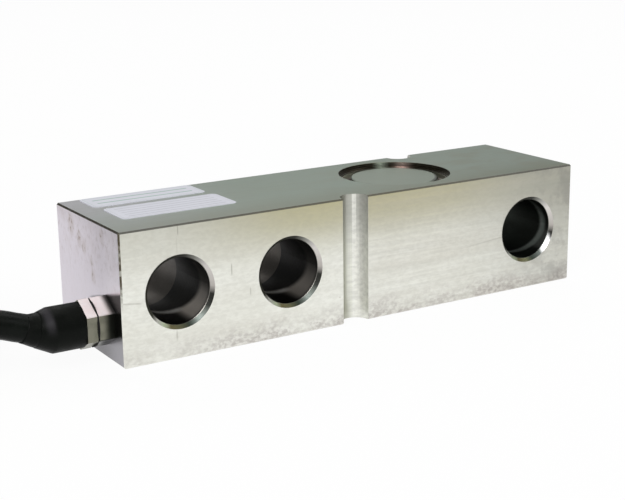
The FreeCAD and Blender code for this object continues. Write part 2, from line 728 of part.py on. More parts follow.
def make_gland(cable):
    outside = fused(
        "GlandOutside",
        [
            hexagon("GlandHex", HEX_OUT, CABLE_END),
            rod("GlandSpigot", d.GlandHoleRadius, CABLE_END, CABLE_END + d.SpigotLength),
            rod("GlandStub", d.StubRadius, STUB_OUT, HEX_OUT),
        ],
    )
    inside = fused(
        "GlandInside",
        [
            rod("GlandBore", d.GlandBoreRadius, STUB_OUT, CABLE_END + d.SpigotLength),
            rod("GlandSealSeat", d.SealRadius, STUB_OUT, STUB_OUT + d.SealLength),
        ],
    )
    keep(cut("GlandBody", outside, inside), "gland_body")

    seal_ring = rod("SealRing", d.SealRadius, STUB_OUT, STUB_OUT + d.SealLength)
    keep(cut("GlandSeal", seal_ring, cable), "gland_seal")

    washer = rod("WasherDisc", d.WasherRadius, WASHER_OUT, HEX_OUT)
    keep(cut("GlandWasher", washer, rod("WasherBore", d.StubRadius, WASHER_OUT, HEX_OUT)), "gland_washer")

    nut = hexagon("LocknutHex", LOCKNUT_OUT, WASHER_OUT)
    keep(cut("GlandLocknut", nut, rod("LocknutBore", d.StubRadius, LOCKNUT_OUT, WASHER_OUT)), "gland_locknut")


def make_boot(cable):
    """Rubber boot: grips the gland's stub, and its neck leans with the cable as that starts to rise."""
    body_end = LOCKNUT_OUT - d.BootBodyLength
    radius = bend_radius(*cable_points()[:3])
    turn = math.radians(float(d.NeckTurn))
    bend_start = JACKET_START - d.FirstRun * (1 - SETBACK)
    neck_x = bend_start - as_size(radius * math.sin(turn))
    neck_z = d.GlandHeight + as_size(radius * (1 - math.cos(turn)))

    body = new_body("BootOutside")
    round_section = sketch_on(body, "BootSection", "YZ_Plane", body_end)
    add_circle(round_section, GLAND_Y, d.GlandHeight, d.BootRadius)
    pad(body, round_section, d.BootBodyLength, "BootBarrel")

    shoulder = sketch_on(body, "ShoulderSection", "YZ_Plane", body_end)
    add_circle(shoulder, GLAND_Y, d.GlandHeight, d.BootRadius)
    neck = sketch_on(body, "NeckSection", "YZ_Plane")
    neck.AttachmentOffset = Placement(Vector(0, 0, 0), Rotation(Vector(1, 0, 0), float(d.NeckTurn)))
    for axis, value in zip("xyz", (GLAND_Y, neck_z, neck_x)):
        bind(neck, f"AttachmentOffset.Base.{axis}", value)
    add_circle(neck, as_size(0), as_size(0), d.NeckRadius)
    loft = body.newObject("PartDesign::AdditiveLoft", "BootNeck")
    loft.Profile = shoulder
    loft.Sections = [neck]
    loft.Ruled = True
    softened = round_edges(
        body, loft, lambda edge: is_circle(edge, d.BootRadius) and abs(edge.Curve.Center.x - float(body_end)) < 0.01,
        d.ShoulderRounding, "BootShoulder",
    )
    round_edges(
        body, softened, lambda edge: edge.BoundBox.XMax < float(body_end - 2) and len(edge.Vertexes) == 1,
        d.NeckRounding, "BootNeckEnd",
    )
    grip = fused("BootInside", [rod("BootStubBore", d.StubRadius, STUB_OUT, LOCKNUT_OUT), cable])
    keep(cut("CableBoot", body, grip), "cable_boot")


# ---------------------------------------------------------------------------------------------
# Hank, ties and the stripped end
# ---------------------------------------------------------------------------------------------
HANK_RIGHT = CABLE_END - d.HankGap
HANK_LEFT = HANK_RIGHT - d.HankStraight
INNER_TURN = d.HankBend
OUTER_TURN = d.HankBend + d.TurnPitch
HANK_Y = GLAND_Y + OUTER_TURN
HANK_BASE = d.TieThickness
OUTER_LAYERS, INNER_LAYERS = 4, 3
HANK_TOP = HANK_BASE + d.TurnPitch * OUTER_LAYERS
REST_Z = HANK_BASE + d.TurnPitch * INNER_LAYERS  # top of the inner turns, where the end lies
END_Y = GLAND_Y + d.TurnPitch
END_Z = REST_Z + d.SleeveRadius


def ring_pad(body, name, turn_radius, base, layers):
    """One column of turns: a racetrack ring, a turn wide and some layers high."""
    sketch = sketch_on(body, f"{name}Section", "XY_Plane", base)
    add_racetrack(sketch, HANK_LEFT, HANK_RIGHT, HANK_Y, turn_radius + d.TurnPitch / 2)
    add_racetrack(sketch, HANK_LEFT, HANK_RIGHT, HANK_Y, turn_radius - d.TurnPitch / 2)
    return pad(body, sketch, d.TurnPitch * layers, f"{name}Column")


def make_hank(cable):
    """The outer shape of the wound cable: four layers of outer turns and three of inner ones, with
    half a turn of a fourth inner layer on top, from which the end comes out."""
    body = new_body("HankOutside")
    ring_pad(body, "Outer", OUTER_TURN, HANK_BASE, OUTER_LAYERS)
    inner = ring_pad(body, "Inner", INNER_TURN, HANK_BASE, INNER_LAYERS)
    outer_wall = float(OUTER_TURN + d.TurnPitch / 2)

    def on_outer_rim(edge):
        spots = [edge.valueAt(edge.FirstParameter + share * (edge.LastParameter - edge.FirstParameter))
                 for share in (0.0, 0.5, 1.0)]
        flat = all(abs(s.z - spots[0].z) < 1e-6 for s in spots)
        return flat and all(distance_to_hank_line(s) > outer_wall - 1e-3 for s in spots)

    round_edges(body, inner, on_outer_rim, d.HankEdge, "HankEdges")

    top_ring = new_body("TopTurn")
    ring_pad(top_ring, "Top", INNER_TURN, REST_Z, 1)
    reach = INNER_TURN + d.TurnPitch / 2
    free_side = box("TopFreeSide", HANK_LEFT - reach, HANK_Y - reach, REST_Z, d.HankStraight + reach, reach, d.TurnPitch)
    turns = fused("HankTurns", [body, cut("TopHalfTurn", top_ring, free_side)])
    turns.Refine = True
    keep(cut("CableHank", turns, cable), "cable_hank")


def distance_to_hank_line(point):
    """Distance in plan from the straight line between the centres of the hank's two bends."""
    x = min(max(point.x, float(HANK_LEFT)), float(HANK_RIGHT))
    return math.hypot(point.x - x, point.y - float(HANK_Y))


def make_ties():
    """A strap round all the turns of each side of the hank, its head towards the hank's middle."""
    for label, at, inner_y, inwards in (
        ("front_tie", d.FrontTieAt, HANK_Y - OUTER_TURN, 1),
        ("back_tie", d.BackTieAt, HANK_Y + INNER_TURN, -1),
    ):
        low_y, width = inner_y - d.TurnPitch / 2, d.TurnPitch * 2
        name = label.title().replace("_", "")
        outside = box(
            f"{name}Outside", HANK_RIGHT - at - d.TieWidth / 2, low_y - d.TieThickness, HANK_BASE - d.TieThickness,
            d.TieWidth, width + d.TieThickness * 2, d.TurnPitch * OUTER_LAYERS + d.TieThickness * 2,
        )
        inside = box(
            f"{name}Inside", HANK_RIGHT - at - d.TieWidth / 2, low_y, HANK_BASE,
            d.TieWidth, width, d.TurnPitch * OUTER_LAYERS,
        )
        inner_face = low_y + width + d.TieThickness if inwards > 0 else low_y - d.TieThickness
        head_y = inner_face if inwards > 0 else inner_face - d.TieHeadDepth
        head = box(
            f"{name}Head", HANK_RIGHT - at - d.TieHeadWidth / 2, head_y, HANK_TOP - d.TieHeadDrop,
            d.TieHeadWidth, d.TieHeadDepth, d.TieHeadHeight,
        )
        keep(fused(f"{name}WithHead", [cut(name, outside, inside), head]), label)


TAILS = [
    # colour, place across and up at the sleeve, place across half way and at rest, and its length
    ("red", 1.0, 0.9, 2.4, 3.0, 44.0),
    ("black", -1.0, 0.9, -2.4, -3.0, 46.0),
    ("green", 1.0, -0.9, 1.2, 1.45, 49.0),
    ("white", -1.0, -0.9, -1.2, -1.45, 43.0),
]


def make_end():
    """Last stretch of jacket on the hank, its shrink sleeve, four stripped cores and the drain wire."""
    jacket_end = HANK_RIGHT - d.EndRunLength
    keep(rod("CableEnd", d.CableRadius, jacket_end, HANK_RIGHT, END_Y, END_Z), "cable_end")
    jacket = doc.getObject("CableEnd")
    sleeve_start = jacket_end + d.SleeveOverlap
    sleeve_end = sleeve_start - d.SleeveLength
    sleeve = fused(
        "SleeveOutside",
        [
            rod("SleeveTube", d.SleeveRadius, jacket_end, sleeve_start, END_Y, END_Z),
            taper("SleeveTaper", d.SleeveTipRadius, d.SleeveRadius, sleeve_end, jacket_end, END_Y, END_Z),
        ],
    )
    keep(cut("EndSleeve", sleeve, jacket), "end_sleeve")

    tips = []
    for colour, across, up, halfway, landing, length in TAILS:
        rest = REST_Z + d.TailRadius
        last_x = sleeve_end - length
        route = [
            (sleeve_end, END_Y + across, END_Z + up),
            (sleeve_end - 3, END_Y + across, END_Z + up),
            (sleeve_end - 10, END_Y + halfway, END_Z - 0.8 + up * 0.8),
            (sleeve_end - 21, END_Y + landing, rest),
            (last_x, END_Y + landing, rest),
        ]
        keep(wire_piece(f"Tail{colour.title()}", [route], d.TailRadius, 6.0), f"tail_{colour}")
        tips.append(rod(f"Tip{colour.title()}", d.TipRadius, last_x - d.TipLength, last_x, END_Y + landing, rest))
    keep(fused("CoreTips", tips), "core_tips")
    rest = REST_Z + d.TipRadius
    drain = [
        (sleeve_end, END_Y, END_Z),
        (sleeve_end - 5, END_Y, END_Z),
        (sleeve_end - 21, END_Y, rest),
        (sleeve_end - 36, END_Y, rest),
    ]
    keep(wire_piece("DrainWire", [drain], d.TipRadius, 6.0), "drain_wire")


# ---------------------------------------------------------------------------------------------
# Build, check and write
# ---------------------------------------------------------------------------------------------
make_beam()
make_cover("upper_gauge_cover", 1)
make_cover("lower_gauge_cover", -1)
make_gauge("upper_strain_gauge", 1)
make_gauge("lower_strain_gauge", -1)
make_board()
make_inner_cores()
make_gauge_leads()
make_label("front_label", d.FrontLabelAt, d.FrontLabelInset, d.FrontLabelWidth)
make_label("back_label", d.BackLabelAt, d.BackLabelInset, d.BackLabelWidth)
cable_run = make_cable()
make_gland(cable_run)
make_boot(cable_run)
make_hank(cable_run)
make_ties()
make_end()
doc.recompute()

for thing in doc.Objects:
    if "Invalid" in thing.State or "Error" in thing.State:
        raise RuntimeError(f"{thing.Name} ({thing.Label}) did not build: {thing.State}")
for piece in nodes:
    if piece.Shape.isNull() or not piece.Shape.isValid() or piece.Shape.Volume <= 0:
        raise RuntimeError(f"{piece.Label} has no valid solid")

os.makedirs("parts", exist_ok=True)
for piece in nodes:
    piece.Shape.exportStep(f"parts/{piece.Label}.step")
    print(f"{piece.Label:20s} {len(piece.Shape.Solids)} solid(s) {piece.Shape.Volume / 1000:9.3f} cm3")
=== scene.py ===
# %% [markdown]
# # A shear-beam load cell on a white table
#
# The object is a bar of ground stainless steel.  Three holes go through it from front to back, a
# round pocket in its top and another in its underside hide the strain gauges, and a black cable
# leaves a gland at the left end.  The CAD frame brings every solid in its place, in metres: X runs
# along the bar, Y along the holes and Z up.  This lesson gives those solids their surfaces, makes
# the few pieces that need more than a solid can give, and lights the whole on a white table.

# %% Load the CAD frame
import math

import bmesh
import bpy
from mathutils import Matrix, Vector


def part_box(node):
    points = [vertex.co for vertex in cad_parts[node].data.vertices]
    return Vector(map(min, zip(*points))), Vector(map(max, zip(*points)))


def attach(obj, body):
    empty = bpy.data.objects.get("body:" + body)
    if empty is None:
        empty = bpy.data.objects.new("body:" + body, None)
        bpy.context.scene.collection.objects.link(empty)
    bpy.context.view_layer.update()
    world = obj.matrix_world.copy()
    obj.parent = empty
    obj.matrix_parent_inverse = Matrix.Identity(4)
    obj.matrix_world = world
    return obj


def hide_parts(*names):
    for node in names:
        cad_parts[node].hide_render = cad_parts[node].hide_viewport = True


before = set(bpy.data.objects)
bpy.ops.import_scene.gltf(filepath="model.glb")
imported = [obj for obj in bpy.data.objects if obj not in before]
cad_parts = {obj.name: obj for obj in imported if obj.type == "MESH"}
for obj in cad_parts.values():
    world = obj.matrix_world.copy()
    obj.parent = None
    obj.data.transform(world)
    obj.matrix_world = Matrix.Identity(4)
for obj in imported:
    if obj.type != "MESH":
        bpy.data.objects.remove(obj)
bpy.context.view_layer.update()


def add_object(name, data):
    """A new object in the scene, which holds the data."""
    made = bpy.data.objects.new(name, data)
    bpy.context.scene.collection.objects.link(made)
    return made


# %% [markdown]
# ## The camera
#
# A product shot of a small part is taken with a long lens, a little above the table and well to the
# left, so that the cable end faces us.  A camera looks along its own -Z axis with +Y up.  It could
# be aimed with a constraint or three angles; here its matrix is built from three directions, the
# right-hand side of the picture, the top, and back, because that also sets a slight roll.

# %% Camera
CAMERA_PLACE = (-0.23552, -0.37434, 0.13599)
CAMERA_AHEAD = (0.5048881, 0.82394276, -0.25730592)
CAMERA_RIGHT = (0.85069957, -0.5254804, -0.01343802)
LENS_MM, SENSOR_MM = 78.55, 36.0
NEAREST_SEEN, FARTHEST_SEEN = 0.01, 20.0


def place_camera():
    """A camera at its place that looks ahead, with the right-hand side of the picture level."""
    ahead = Vector(CAMERA_AHEAD).normalized()
    right = Vector(CAMERA_RIGHT)
    right = (right - ahead * right.dot(ahead)).normalized()
    up = right.cross(ahead)
    camera = add_object("product_camera", bpy.data.cameras.new("product_camera"))
    camera.data.lens = LENS_MM
    camera.data.sensor_width = SENSOR_MM
    camera.data.clip_start, camera.data.clip_end = NEAREST_SEEN, FARTHEST_SEEN
    turn = Matrix((right, up, -ahead)).transposed().to_4x4()
    camera.matrix_world = Matrix.Translation(Vector(CAMERA_PLACE)) @ turn
    bpy.context.scene.camera = camera


place_camera()
print("camera stands", round(Vector(CAMERA_PLACE).length, 3), "m from the part's origin")

# %% [markdown]
# ## Small tools for shader trees
#
# A shader tree is a list of nodes and a list of links.  Writing both out by hand hides what the
# tree does, so a few helpers do the bookkeeping: one adds a node, one does sums on numbers or
# sockets, one makes a soft step, and one lays colours over each other, each through its mask.

# %% Helpers for shader trees
def add_node(tree, kind, **settings):
    """Adds a node and sets its properties."""
    made = tree.nodes.new(kind)
    for name, value in settings.items():
        setattr(made, name, value)
    return made


def tree_of(*values):
    """The tree that the values are in; plain numbers among them are passed over."""
    return next(value.id_data for value in values if isinstance(value, bpy.types.NodeSocket))


def feed(socket, value):
    """Links another socket to this one, or sets it to a plain value."""
    if isinstance(value, bpy.types.NodeSocket):
        socket.id_data.links.new(value, socket)
    else:
        socket.default_value = value


def feed_all(node, *values, **named):
    """Feeds a node's sockets, in their order or by name, and returns its first output."""
    for socket, value in zip(node.inputs, values):
        feed(socket, value)
    for label, value in named.items():
        feed(node.inputs[label], value)
    return node.outputs[0]


def calc(operation, *values, clamp=False):
    """A Math node; the values are numbers or sockets."""
    made = add_node(tree_of(*values), "ShaderNodeMath", operation=operation, use_clamp=clamp)
    return feed_all(made, *values)


def fold(operation, values):
    """The result of one Math operation over all the values."""
    result = values[0]
    for value in values[1:]:
        result = calc(operation, result, value)
    return result


def times(*factors):
    """The product of masks and numbers."""
    return fold("MULTIPLY", factors)


def plus(first, second):
    """The sum of two values."""
    return calc("ADD", first, second)


def minus(first, second):
    """The first value less the second."""
    return calc("SUBTRACT", first, second)


def ramp(value, low, high, to_low=0.0, to_high=1.0):
    """A soft step from to_low, where the value is under `low`, to to_high over `high`."""
    step = add_node(tree_of(value), "ShaderNodeMapRange", interpolation_type="SMOOTHSTEP")
    return feed_all(step, value, low, high, to_low, to_high)


def fade(value, low, high):
    """A soft step down, from 1 to 0."""
    return ramp(value, low, high, 1.0, 0.0)


def spread(mask, at_none, at_full):
    """A number that goes from at_none to at_full with the mask."""
    return ramp(mask, 0.0, 1.0, at_none, at_full)


def blend(mask, first, second):
    """A colour between `first` and `second`."""
    made = add_node(tree_of(mask), "ShaderNodeMix", data_type="RGBA")
    for socket, value in ((made.inputs[0], mask), (made.inputs[6], first), (made.inputs[7], second)):
        if isinstance(value, tuple) and len(value) == 3:
            value = (*value, 1.0)
        feed(socket, value)
    return made.outputs[2]


def paint(colour, *layers):
    """The colour with layers over it, each a mask and a colour."""
    for mask, over in layers:
        colour = blend(mask, colour, over)
    return colour


def split(vector):
    """The three parts of a vector."""
    made = add_node(tree_of(vector), "ShaderNodeSeparateXYZ")
    feed(made.inputs[0], vector)
    return made.outputs[0], made.outputs[1], made.outputs[2]


def joined(x, y, z):
    """A vector from its three parts."""
    return feed_all(add_node(tree_of(x, y, z), "ShaderNodeCombineXYZ"), x, y, z)


def position(tree):
    """Object coordinates, in metres: for every piece here they are the coordinates of the part."""
    return add_node(tree, "ShaderNodeTexCoord").outputs["Object"]


def normal_parts(tree, kind="True Normal"):
    """The three parts of the way that the surface faces."""
    return split(add_node(tree, "ShaderNodeNewGeometry").outputs[kind])


def scaled(vector, scale, shift):
    """The vector times a scale for each axis, then moved."""
    made = add_node(tree_of(vector), "ShaderNodeMapping")
    return feed_all(made, Vector=vector, Scale=scale, Location=shift)


def noise(vector, scale, detail=3.0, roughness=0.55):
    """A noise value round 0.5."""
    made = add_node(tree_of(vector), "ShaderNodeTexNoise")
    return feed_all(made, Vector=vector, Scale=scale, Detail=detail, Roughness=roughness)


def bump(height, strength, distance=0.001):
    """A normal that leans with the height."""
    made = add_node(tree_of(height), "ShaderNodeBump")
    return feed_all(made, Height=height, Strength=strength, Distance=distance)


def new_material(name, metallic=0.0):
    """A material with one Principled BSDF; returns it with its tree and that shader."""
    material = bpy.data.materials.new(name)
    material.use_nodes = True
    shader = material.node_tree.nodes["Principled BSDF"]
    shader.inputs["Metallic"].default_value = metallic
    return material, material.node_tree, shader


def set_finish(shader, colour, roughness, normal=None):
    """Feeds the colour, the roughness and, where there is one, the normal of a finish."""
    feed_all(shader, **{"Base Color": colour, "Roughness": roughness})
    if normal is not None:
        feed(shader.inputs["Normal"], normal)


print("shader helpers ready")

# %% [markdown]
# ## Table and light
#
# The picture is a cut-out on pure white, lit by large soft lamps.  An empty white world would do
# that, but then nothing stands on anything.  So a big white disc is the table, so wide that the
# camera sees nothing else.  Its own colour nearly makes it white.  A camera or mirror ray sees a
# share of it as glowing paper of strength 1, which lifts it to full white and still keeps the soft
# shadow under the part.

# %% White table
TABLE_RADIUS = 6.0
TABLE_GAP = 0.00005
GLOW_SHARE = 0.95


def make_table():
    """A wide white disc, a hair below the part's underside."""
    mesh = bmesh.new()
    bmesh.ops.create_circle(mesh, cap_ends=True, segments=96, radius=TABLE_RADIUS)
    data = bpy.data.meshes.new("floor")
    mesh.to_mesh(data)
    mesh.free()
    table = add_object("floor", data)
    table.location.z = -TABLE_GAP
    material, tree, shader = new_material("white_table")
    set_finish(shader, (0.93, 0.93, 0.93, 1.0), 0.9)
    shader.inputs["Specular IOR Level"].default_value = 0.1
    glow = add_node(tree, "ShaderNodeEmission")
    rays = add_node(tree, "ShaderNodeLightPath")
    seen = calc("MAXIMUM", rays.outputs["Is Camera Ray"], rays.outputs["Is Glossy Ray"])
    seen = calc("MAXIMUM", seen, rays.outputs["Is Transmission Ray"])
    mixed = add_node(tree, "ShaderNodeMixShader")
    feed_all(mixed, times(seen, GLOW_SHARE), shader.outputs[0], glow.outputs[0])
    feed(tree.nodes["Material Output"].inputs[0], mixed.outputs[0])
    data.materials.append(material)
    return table


print("table is", make_table().dimensions.x, "m across")

# %% [markdown]
# ### Lamps
#
# Bright metal shows whatever shines on it.  Small lamps would burn white spots into the steel, so
# four large soft boxes stand round the part: the key from the left, a weaker one from the right,
# one from behind that draws the far edges, and one above for the top.  A grey room fills the rest.

# %% Lamps
LAMPS_AIM = Vector((0, 0, 0.02))
SOFTBOXES = [  # name, place, size and watts
    ("key_softbox", (-0.9, -0.9, 1.1), (0.9, 0.9), 14.0),
    ("fill_softbox", (1.1, -0.8, 0.8), (0.8, 0.8), 5.0),
    ("back_softbox", (0.3, 1.2, 1.2), (1.2, 0.6), 5.0),
    ("top_softbox", (0.66, 0.24, 1.15), (0.7, 0.7), 3.0),
]
for name, place, size, watts in SOFTBOXES:
    lamp = bpy.data.lights.new(name, "AREA")
    lamp.shape = "RECTANGLE"
    lamp.size, lamp.size_y = size
    lamp.energy = watts
    holder = add_object(name, lamp)
    holder.location = place
    holder.rotation_euler = (LAMPS_AIM - Vector(place)).to_track_quat("-Z", "Y").to_euler()

world = bpy.data.worlds.new("studio_room")
bpy.context.scene.world = world
world.use_nodes = True
world.node_tree.nodes["Background"].inputs["Color"].default_value = (0.31, 0.315, 0.31, 1.0)
world.node_tree.nodes["Background"].inputs["Strength"].default_value = 1.0
bpy.context.scene.view_settings.view_transform = "Standard"
print(len(SOFTBOXES), "soft lamps and a grey room")

# %% [markdown]
# ## The cable
#
# A load cell has a few metres of cable.  Only the first centimetres show beside the gland; the rest
# is folded into a hank on the table, left of the picture.  A row of straight tubes would show its
# joints, so all of it is one smooth NURBS curve, as one cable is.  The first points are the free
# run out of the gland.  After that each turn of the hank is a racetrack, whose corner points lie a
# little outside the turn, because the curve runs inside its control points.  The turns fill two
# columns, and each turn moves over to the next place where the one before has already left it.

# %% Control points of the cable
FREE_RUN = [
    (-0.09200, -0.012, 0.01230),
    (-0.10700, -0.012, 0.01230),
    (-0.12091, -0.012, 0.01792),
    (-0.13489, -0.012, 0.01865),
    (-0.14872, -0.012, 0.01646),
    (-0.16262, -0.012, 0.01470),
]
CABLE_WIDTH = 0.0085
LAYER_PITCH, FIRST_LAYER = 0.009, 0.0057
INNER_TURN, OUTER_TURN = 0.0255, 0.0345
HANK_RIGHT, HANK_LEFT, HANK_MIDDLE = -0.1494, -0.2544, 0.0225
HANK_START = -0.205
TURN_PLACES = [  # the bend radius and the layer of each turn
    (OUTER_TURN, 1),
    (OUTER_TURN, 0),
    (INNER_TURN, 0),
    (INNER_TURN, 1),
    (INNER_TURN, 2),
    (OUTER_TURN, 2),
    (OUTER_TURN, 3),
    (INNER_TURN, 3),
]
BEND_POINTS = 6
BEND_STEP = math.pi / BEND_POINTS
BEND_STARTS = math.radians(90) - BEND_STEP / 2
FIRST_MOVE, MOVES_EARLIER, MOVE_LENGTH = 14.6, 2.05, 2.2  # in control points of a turn
END_RUN = [(-0.1690, HANK_MIDDLE - INNER_TURN, 0.03265), (-0.1782, HANK_MIDDLE - INNER_TURN, 0.03265)]


def racetrack(radius):
    """Plan positions of the control points of one turn, for bends of that radius."""
    corner, lead = radius / math.cos(BEND_STEP / 2), radius * math.tan(BEND_STEP / 2)
    left, right = HANK_LEFT + lead, HANK_RIGHT - lead
    front, back = HANK_MIDDLE - radius, HANK_MIDDLE + radius

    def bend(middle, start):
        angles = [start - BEND_STEP * step for step in range(BEND_POINTS)]
        return [(middle + corner * math.cos(a), HANK_MIDDLE + corner * math.sin(a)) for a in angles]

    back_side = [(left + (right - left) * step / 3, back) for step in range(4)]
    to_the_left = [(HANK_START, front), (left, front), *bend(HANK_LEFT, BEND_STARTS - math.pi)]
    return [*to_the_left, *back_side, *bend(HANK_RIGHT, BEND_STARTS), (right, front)]


def hank_points():
    """Control points of all turns, each moving over to the next place a little earlier."""
    points = []
    for turn, (radius, layer) in enumerate(TURN_PLACES[:-1]):
        next_radius, next_layer = TURN_PLACES[turn + 1]
        for station in range(len(racetrack(radius))):
            moved = (station - FIRST_MOVE + MOVES_EARLIER * turn) / MOVE_LENGTH
            moved = min(max(moved, 0.0), 1.0)
            moved = moved * moved * (3 - 2 * moved)
            x, y = racetrack(radius + (next_radius - radius) * moved)[station]
            points.append((x, y, FIRST_LAYER + LAYER_PITCH * (layer + (next_layer - layer) * moved)))
    return points


cable_points = FREE_RUN + hank_points() + END_RUN
print(len(cable_points), "control points,", len(TURN_PLACES) - 1, "turns in the hank")

# %% [markdown]
# ### From points to a cable
#
# The curve gets its thickness from a round bevel.  A curve's box is padded by the radius of its
# points, so the points carry the cable's real radius and the bevel is left at one: the box then
# ends where the rubber does.

# %% Cable curve
def make_cable():
    """One open NURBS spline; each point's radius sets the width, and also pads the curve's box."""
    curve = bpy.data.curves.new("cable_line", "CURVE")
    curve.dimensions = "3D"
    spline = curve.splines.new("NURBS")
    spline.points.add(len(cable_points) - 1)
    for point, place in zip(spline.points, cable_points):
        point.co = (*place, 1.0)
        point.radius = CABLE_WIDTH / 2
    spline.order_u = 3
    spline.use_endpoint_u = True
    spline.resolution_u = curve.resolution_u = 5
    curve.bevel_depth = 1.0
    curve.bevel_resolution = 5
    curve.use_fill_caps = True
    cable = add_object("cable_line", curve)
    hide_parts("cable", "cable_hank", "cable_end")
    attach(cable, "root")
    return cable


cable = make_cable()
print("cable:", round(sum(spline.calc_length() for spline in cable.data.splines), 3), "m of jacket")

# %% [markdown]
# ## Lip of the boot
#
# The boot's neck runs out into a thin lip that hugs the cable.  A cone would stand off where the
# cable bends, so the lip's profile is turned round the cable's own line instead: each ring of
# points stands square to that line, which is an arc here.

# %% Boot lip
BEND_START, BEND_RADIUS = (-0.10025, -0.012, 0.0123), 0.03473
LIP_ANGLE = math.radians(12.6)
LIP_STEPS = 56
LIP_PROFILE = [  # distance along the cable from the neck's end, and radius
    (-0.0006, 0.00494),
    (0.0002, 0.00512),
    (0.0010, 0.00497),
    (0.0019, 0.00472),
    (0.0028, 0.00448),
    (0.0036, 0.00434),
    (0.0041, 0.00428),
    (0.0041, 0.00416),
    (-0.0006, 0.00416),
]


def lip_ring(along, radius):
    """One ring of points round the bending cable."""
    angle = LIP_ANGLE + along / BEND_RADIUS
    middle_x = BEND_START[0] - BEND_RADIUS * math.sin(angle)
    middle_z = BEND_START[2] + BEND_RADIUS * (1 - math.cos(angle))
    ring = []
    for step in range(LIP_STEPS):
        turn = 2 * math.pi * step / LIP_STEPS
        up = radius * math.sin(turn)
        y = BEND_START[1] + radius * math.cos(turn)
        ring.append((middle_x + up * math.sin(angle), y, middle_z + up * math.cos(angle)))
    return ring


def make_lip():
    """A closed ring of rubber, lofted through the profile."""
    places, faces = [], []
    for ring, (along, radius) in enumerate(LIP_PROFILE):
        places += lip_ring(along, radius)
        here, beyond = ring * LIP_STEPS, (ring + 1) % len(LIP_PROFILE) * LIP_STEPS
        for step in range(LIP_STEPS):
            after = (step + 1) % LIP_STEPS
            faces.append((here + step, here + after, beyond + after, beyond + step))
    mesh = bpy.data.meshes.new("boot_lip")
    mesh.from_pydata(places, [], faces)
    solid = bmesh.new()
    solid.from_mesh(mesh)
    bmesh.ops.recalc_face_normals(solid, faces=solid.faces)
    solid.to_mesh(mesh)
    solid.free()
    mesh.shade_smooth()
    lip = add_object("boot_lip", mesh)
    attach(lip, "root")
    return lip


boot_lip = make_lip()
print("boot lip:", len(boot_lip.data.polygons), "faces")

# %% [markdown]
# ## What belongs to the cable
#
# The cable is soft on the real cell: whoever uses the part may lay it another way.

# %% [markdown]
# ## Node groups that several finishes share
#
# Ground steel, pressed steel and rubber look different, but they share a few effects.  The effects
# could be copied into each material; built as node groups, they are written once and placed with
# other numbers.  `tool_lines` gives long fine lines, as a grinding wheel leaves them.
# `cloudy_stain` gives soft patches, as coolant and fingers leave them.  `fine_specks` gives small
# pits.  All of them read the part's own coordinates, in metres, so a pattern keeps its size and
# place on the steel.

# %% Shared shader groups
def new_group(name, inputs, result):
    """A shader group with a vector and named numbers as inputs, and one number as its result."""
    group = bpy.data.node_groups.new(name, "ShaderNodeTree")
    group.interface.new_socket("Vector", in_out="INPUT", socket_type="NodeSocketVector")
    for label, value in inputs.items():
        made = group.interface.new_socket(label, in_out="INPUT", socket_type="NodeSocketFloat")
        made.default_value = value
    group.interface.new_socket(result, in_out="OUTPUT", socket_type="NodeSocketFloat")
    return group, group.nodes.new("NodeGroupInput").outputs, group.nodes.new("NodeGroupOutput").inputs[result]


def build_tool_lines():
    """Lines along X: `Length` and `Spacing` in metres."""
    tree, given, result = new_group("tool_lines", {"Length": 0.05, "Spacing": 0.0004}, "Lines")
    x, y, z = split(given["Vector"])
    along = calc("DIVIDE", x, given["Length"])
    depth, across = (calc("DIVIDE", part, given["Spacing"]) for part in (y, z))
    waves = noise(joined(along, depth, across), 0.5, 4.0, 0.6)
    feed(result, ramp(waves, 0.3, 0.7))
    return tree


def build_cloudy_stain():
    """Soft patches of about `Size` metres; `Amount` is the share of the surface they cover."""
    tree, given, result = new_group("cloudy_stain", {"Size": 0.01, "Amount": 0.5}, "Stain")
    patches = noise(given["Vector"], calc("DIVIDE", 1.0, given["Size"]), 5.0, 0.6)
    level = minus(0.75, times(given["Amount"], 0.5))
    low, high = minus(level, 0.12), plus(level, 0.12)
    feed(result, ramp(patches, low, high))
    return tree


def build_fine_specks():
    """Round specks a `Size` metres apart, of which only some are dark."""
    tree, given, result = new_group("fine_specks", {"Size": 0.004, "Radius": 0.12}, "Specks")
    cells = add_node(tree, "ShaderNodeTexVoronoi", voronoi_dimensions="3D")
    feed_all(cells, Vector=given["Vector"], Scale=calc("DIVIDE", 1.0, given["Size"]))
    chance = feed_all(add_node(tree, "ShaderNodeSeparateColor"), cells.outputs["Color"])
    spot = fade(cells.outputs["Distance"], times(given["Radius"], 0.4), given["Radius"])
    feed(result, times(spot, ramp(chance, 0.7, 0.75)))
    return tree


TOOL_LINES, CLOUDY_STAIN, FINE_SPECKS = build_tool_lines(), build_cloudy_stain(), build_fine_specks()
AS_IT_IS, UNMOVED = (1.0, 1.0, 1.0), (0.0, 0.0, 0.0)


def effect(group, vector, **numbers):
    """Places a shared group in a material and returns its output."""
    return feed_all(add_node(tree_of(vector), "ShaderNodeGroup", node_tree=group), Vector=vector, **numbers)


def stain(here, size, amount, stretch=AS_IT_IS, shift=UNMOVED):
    """Cloudy patches; a stretch under 1 makes them longer that way, a shift picks other patches."""
    return effect(CLOUDY_STAIN, scaled(here, stretch, shift), Size=size, Amount=amount)


def tool_marks(here, length, spacing, shift=UNMOVED):
    """Long fine lines along the bar; a shift picks other lines."""
    return effect(TOOL_LINES, scaled(here, AS_IT_IS, shift), Length=length, Spacing=spacing)


print("shared groups:", [group.name for group in (TOOL_LINES, CLOUDY_STAIN, FINE_SPECKS)])

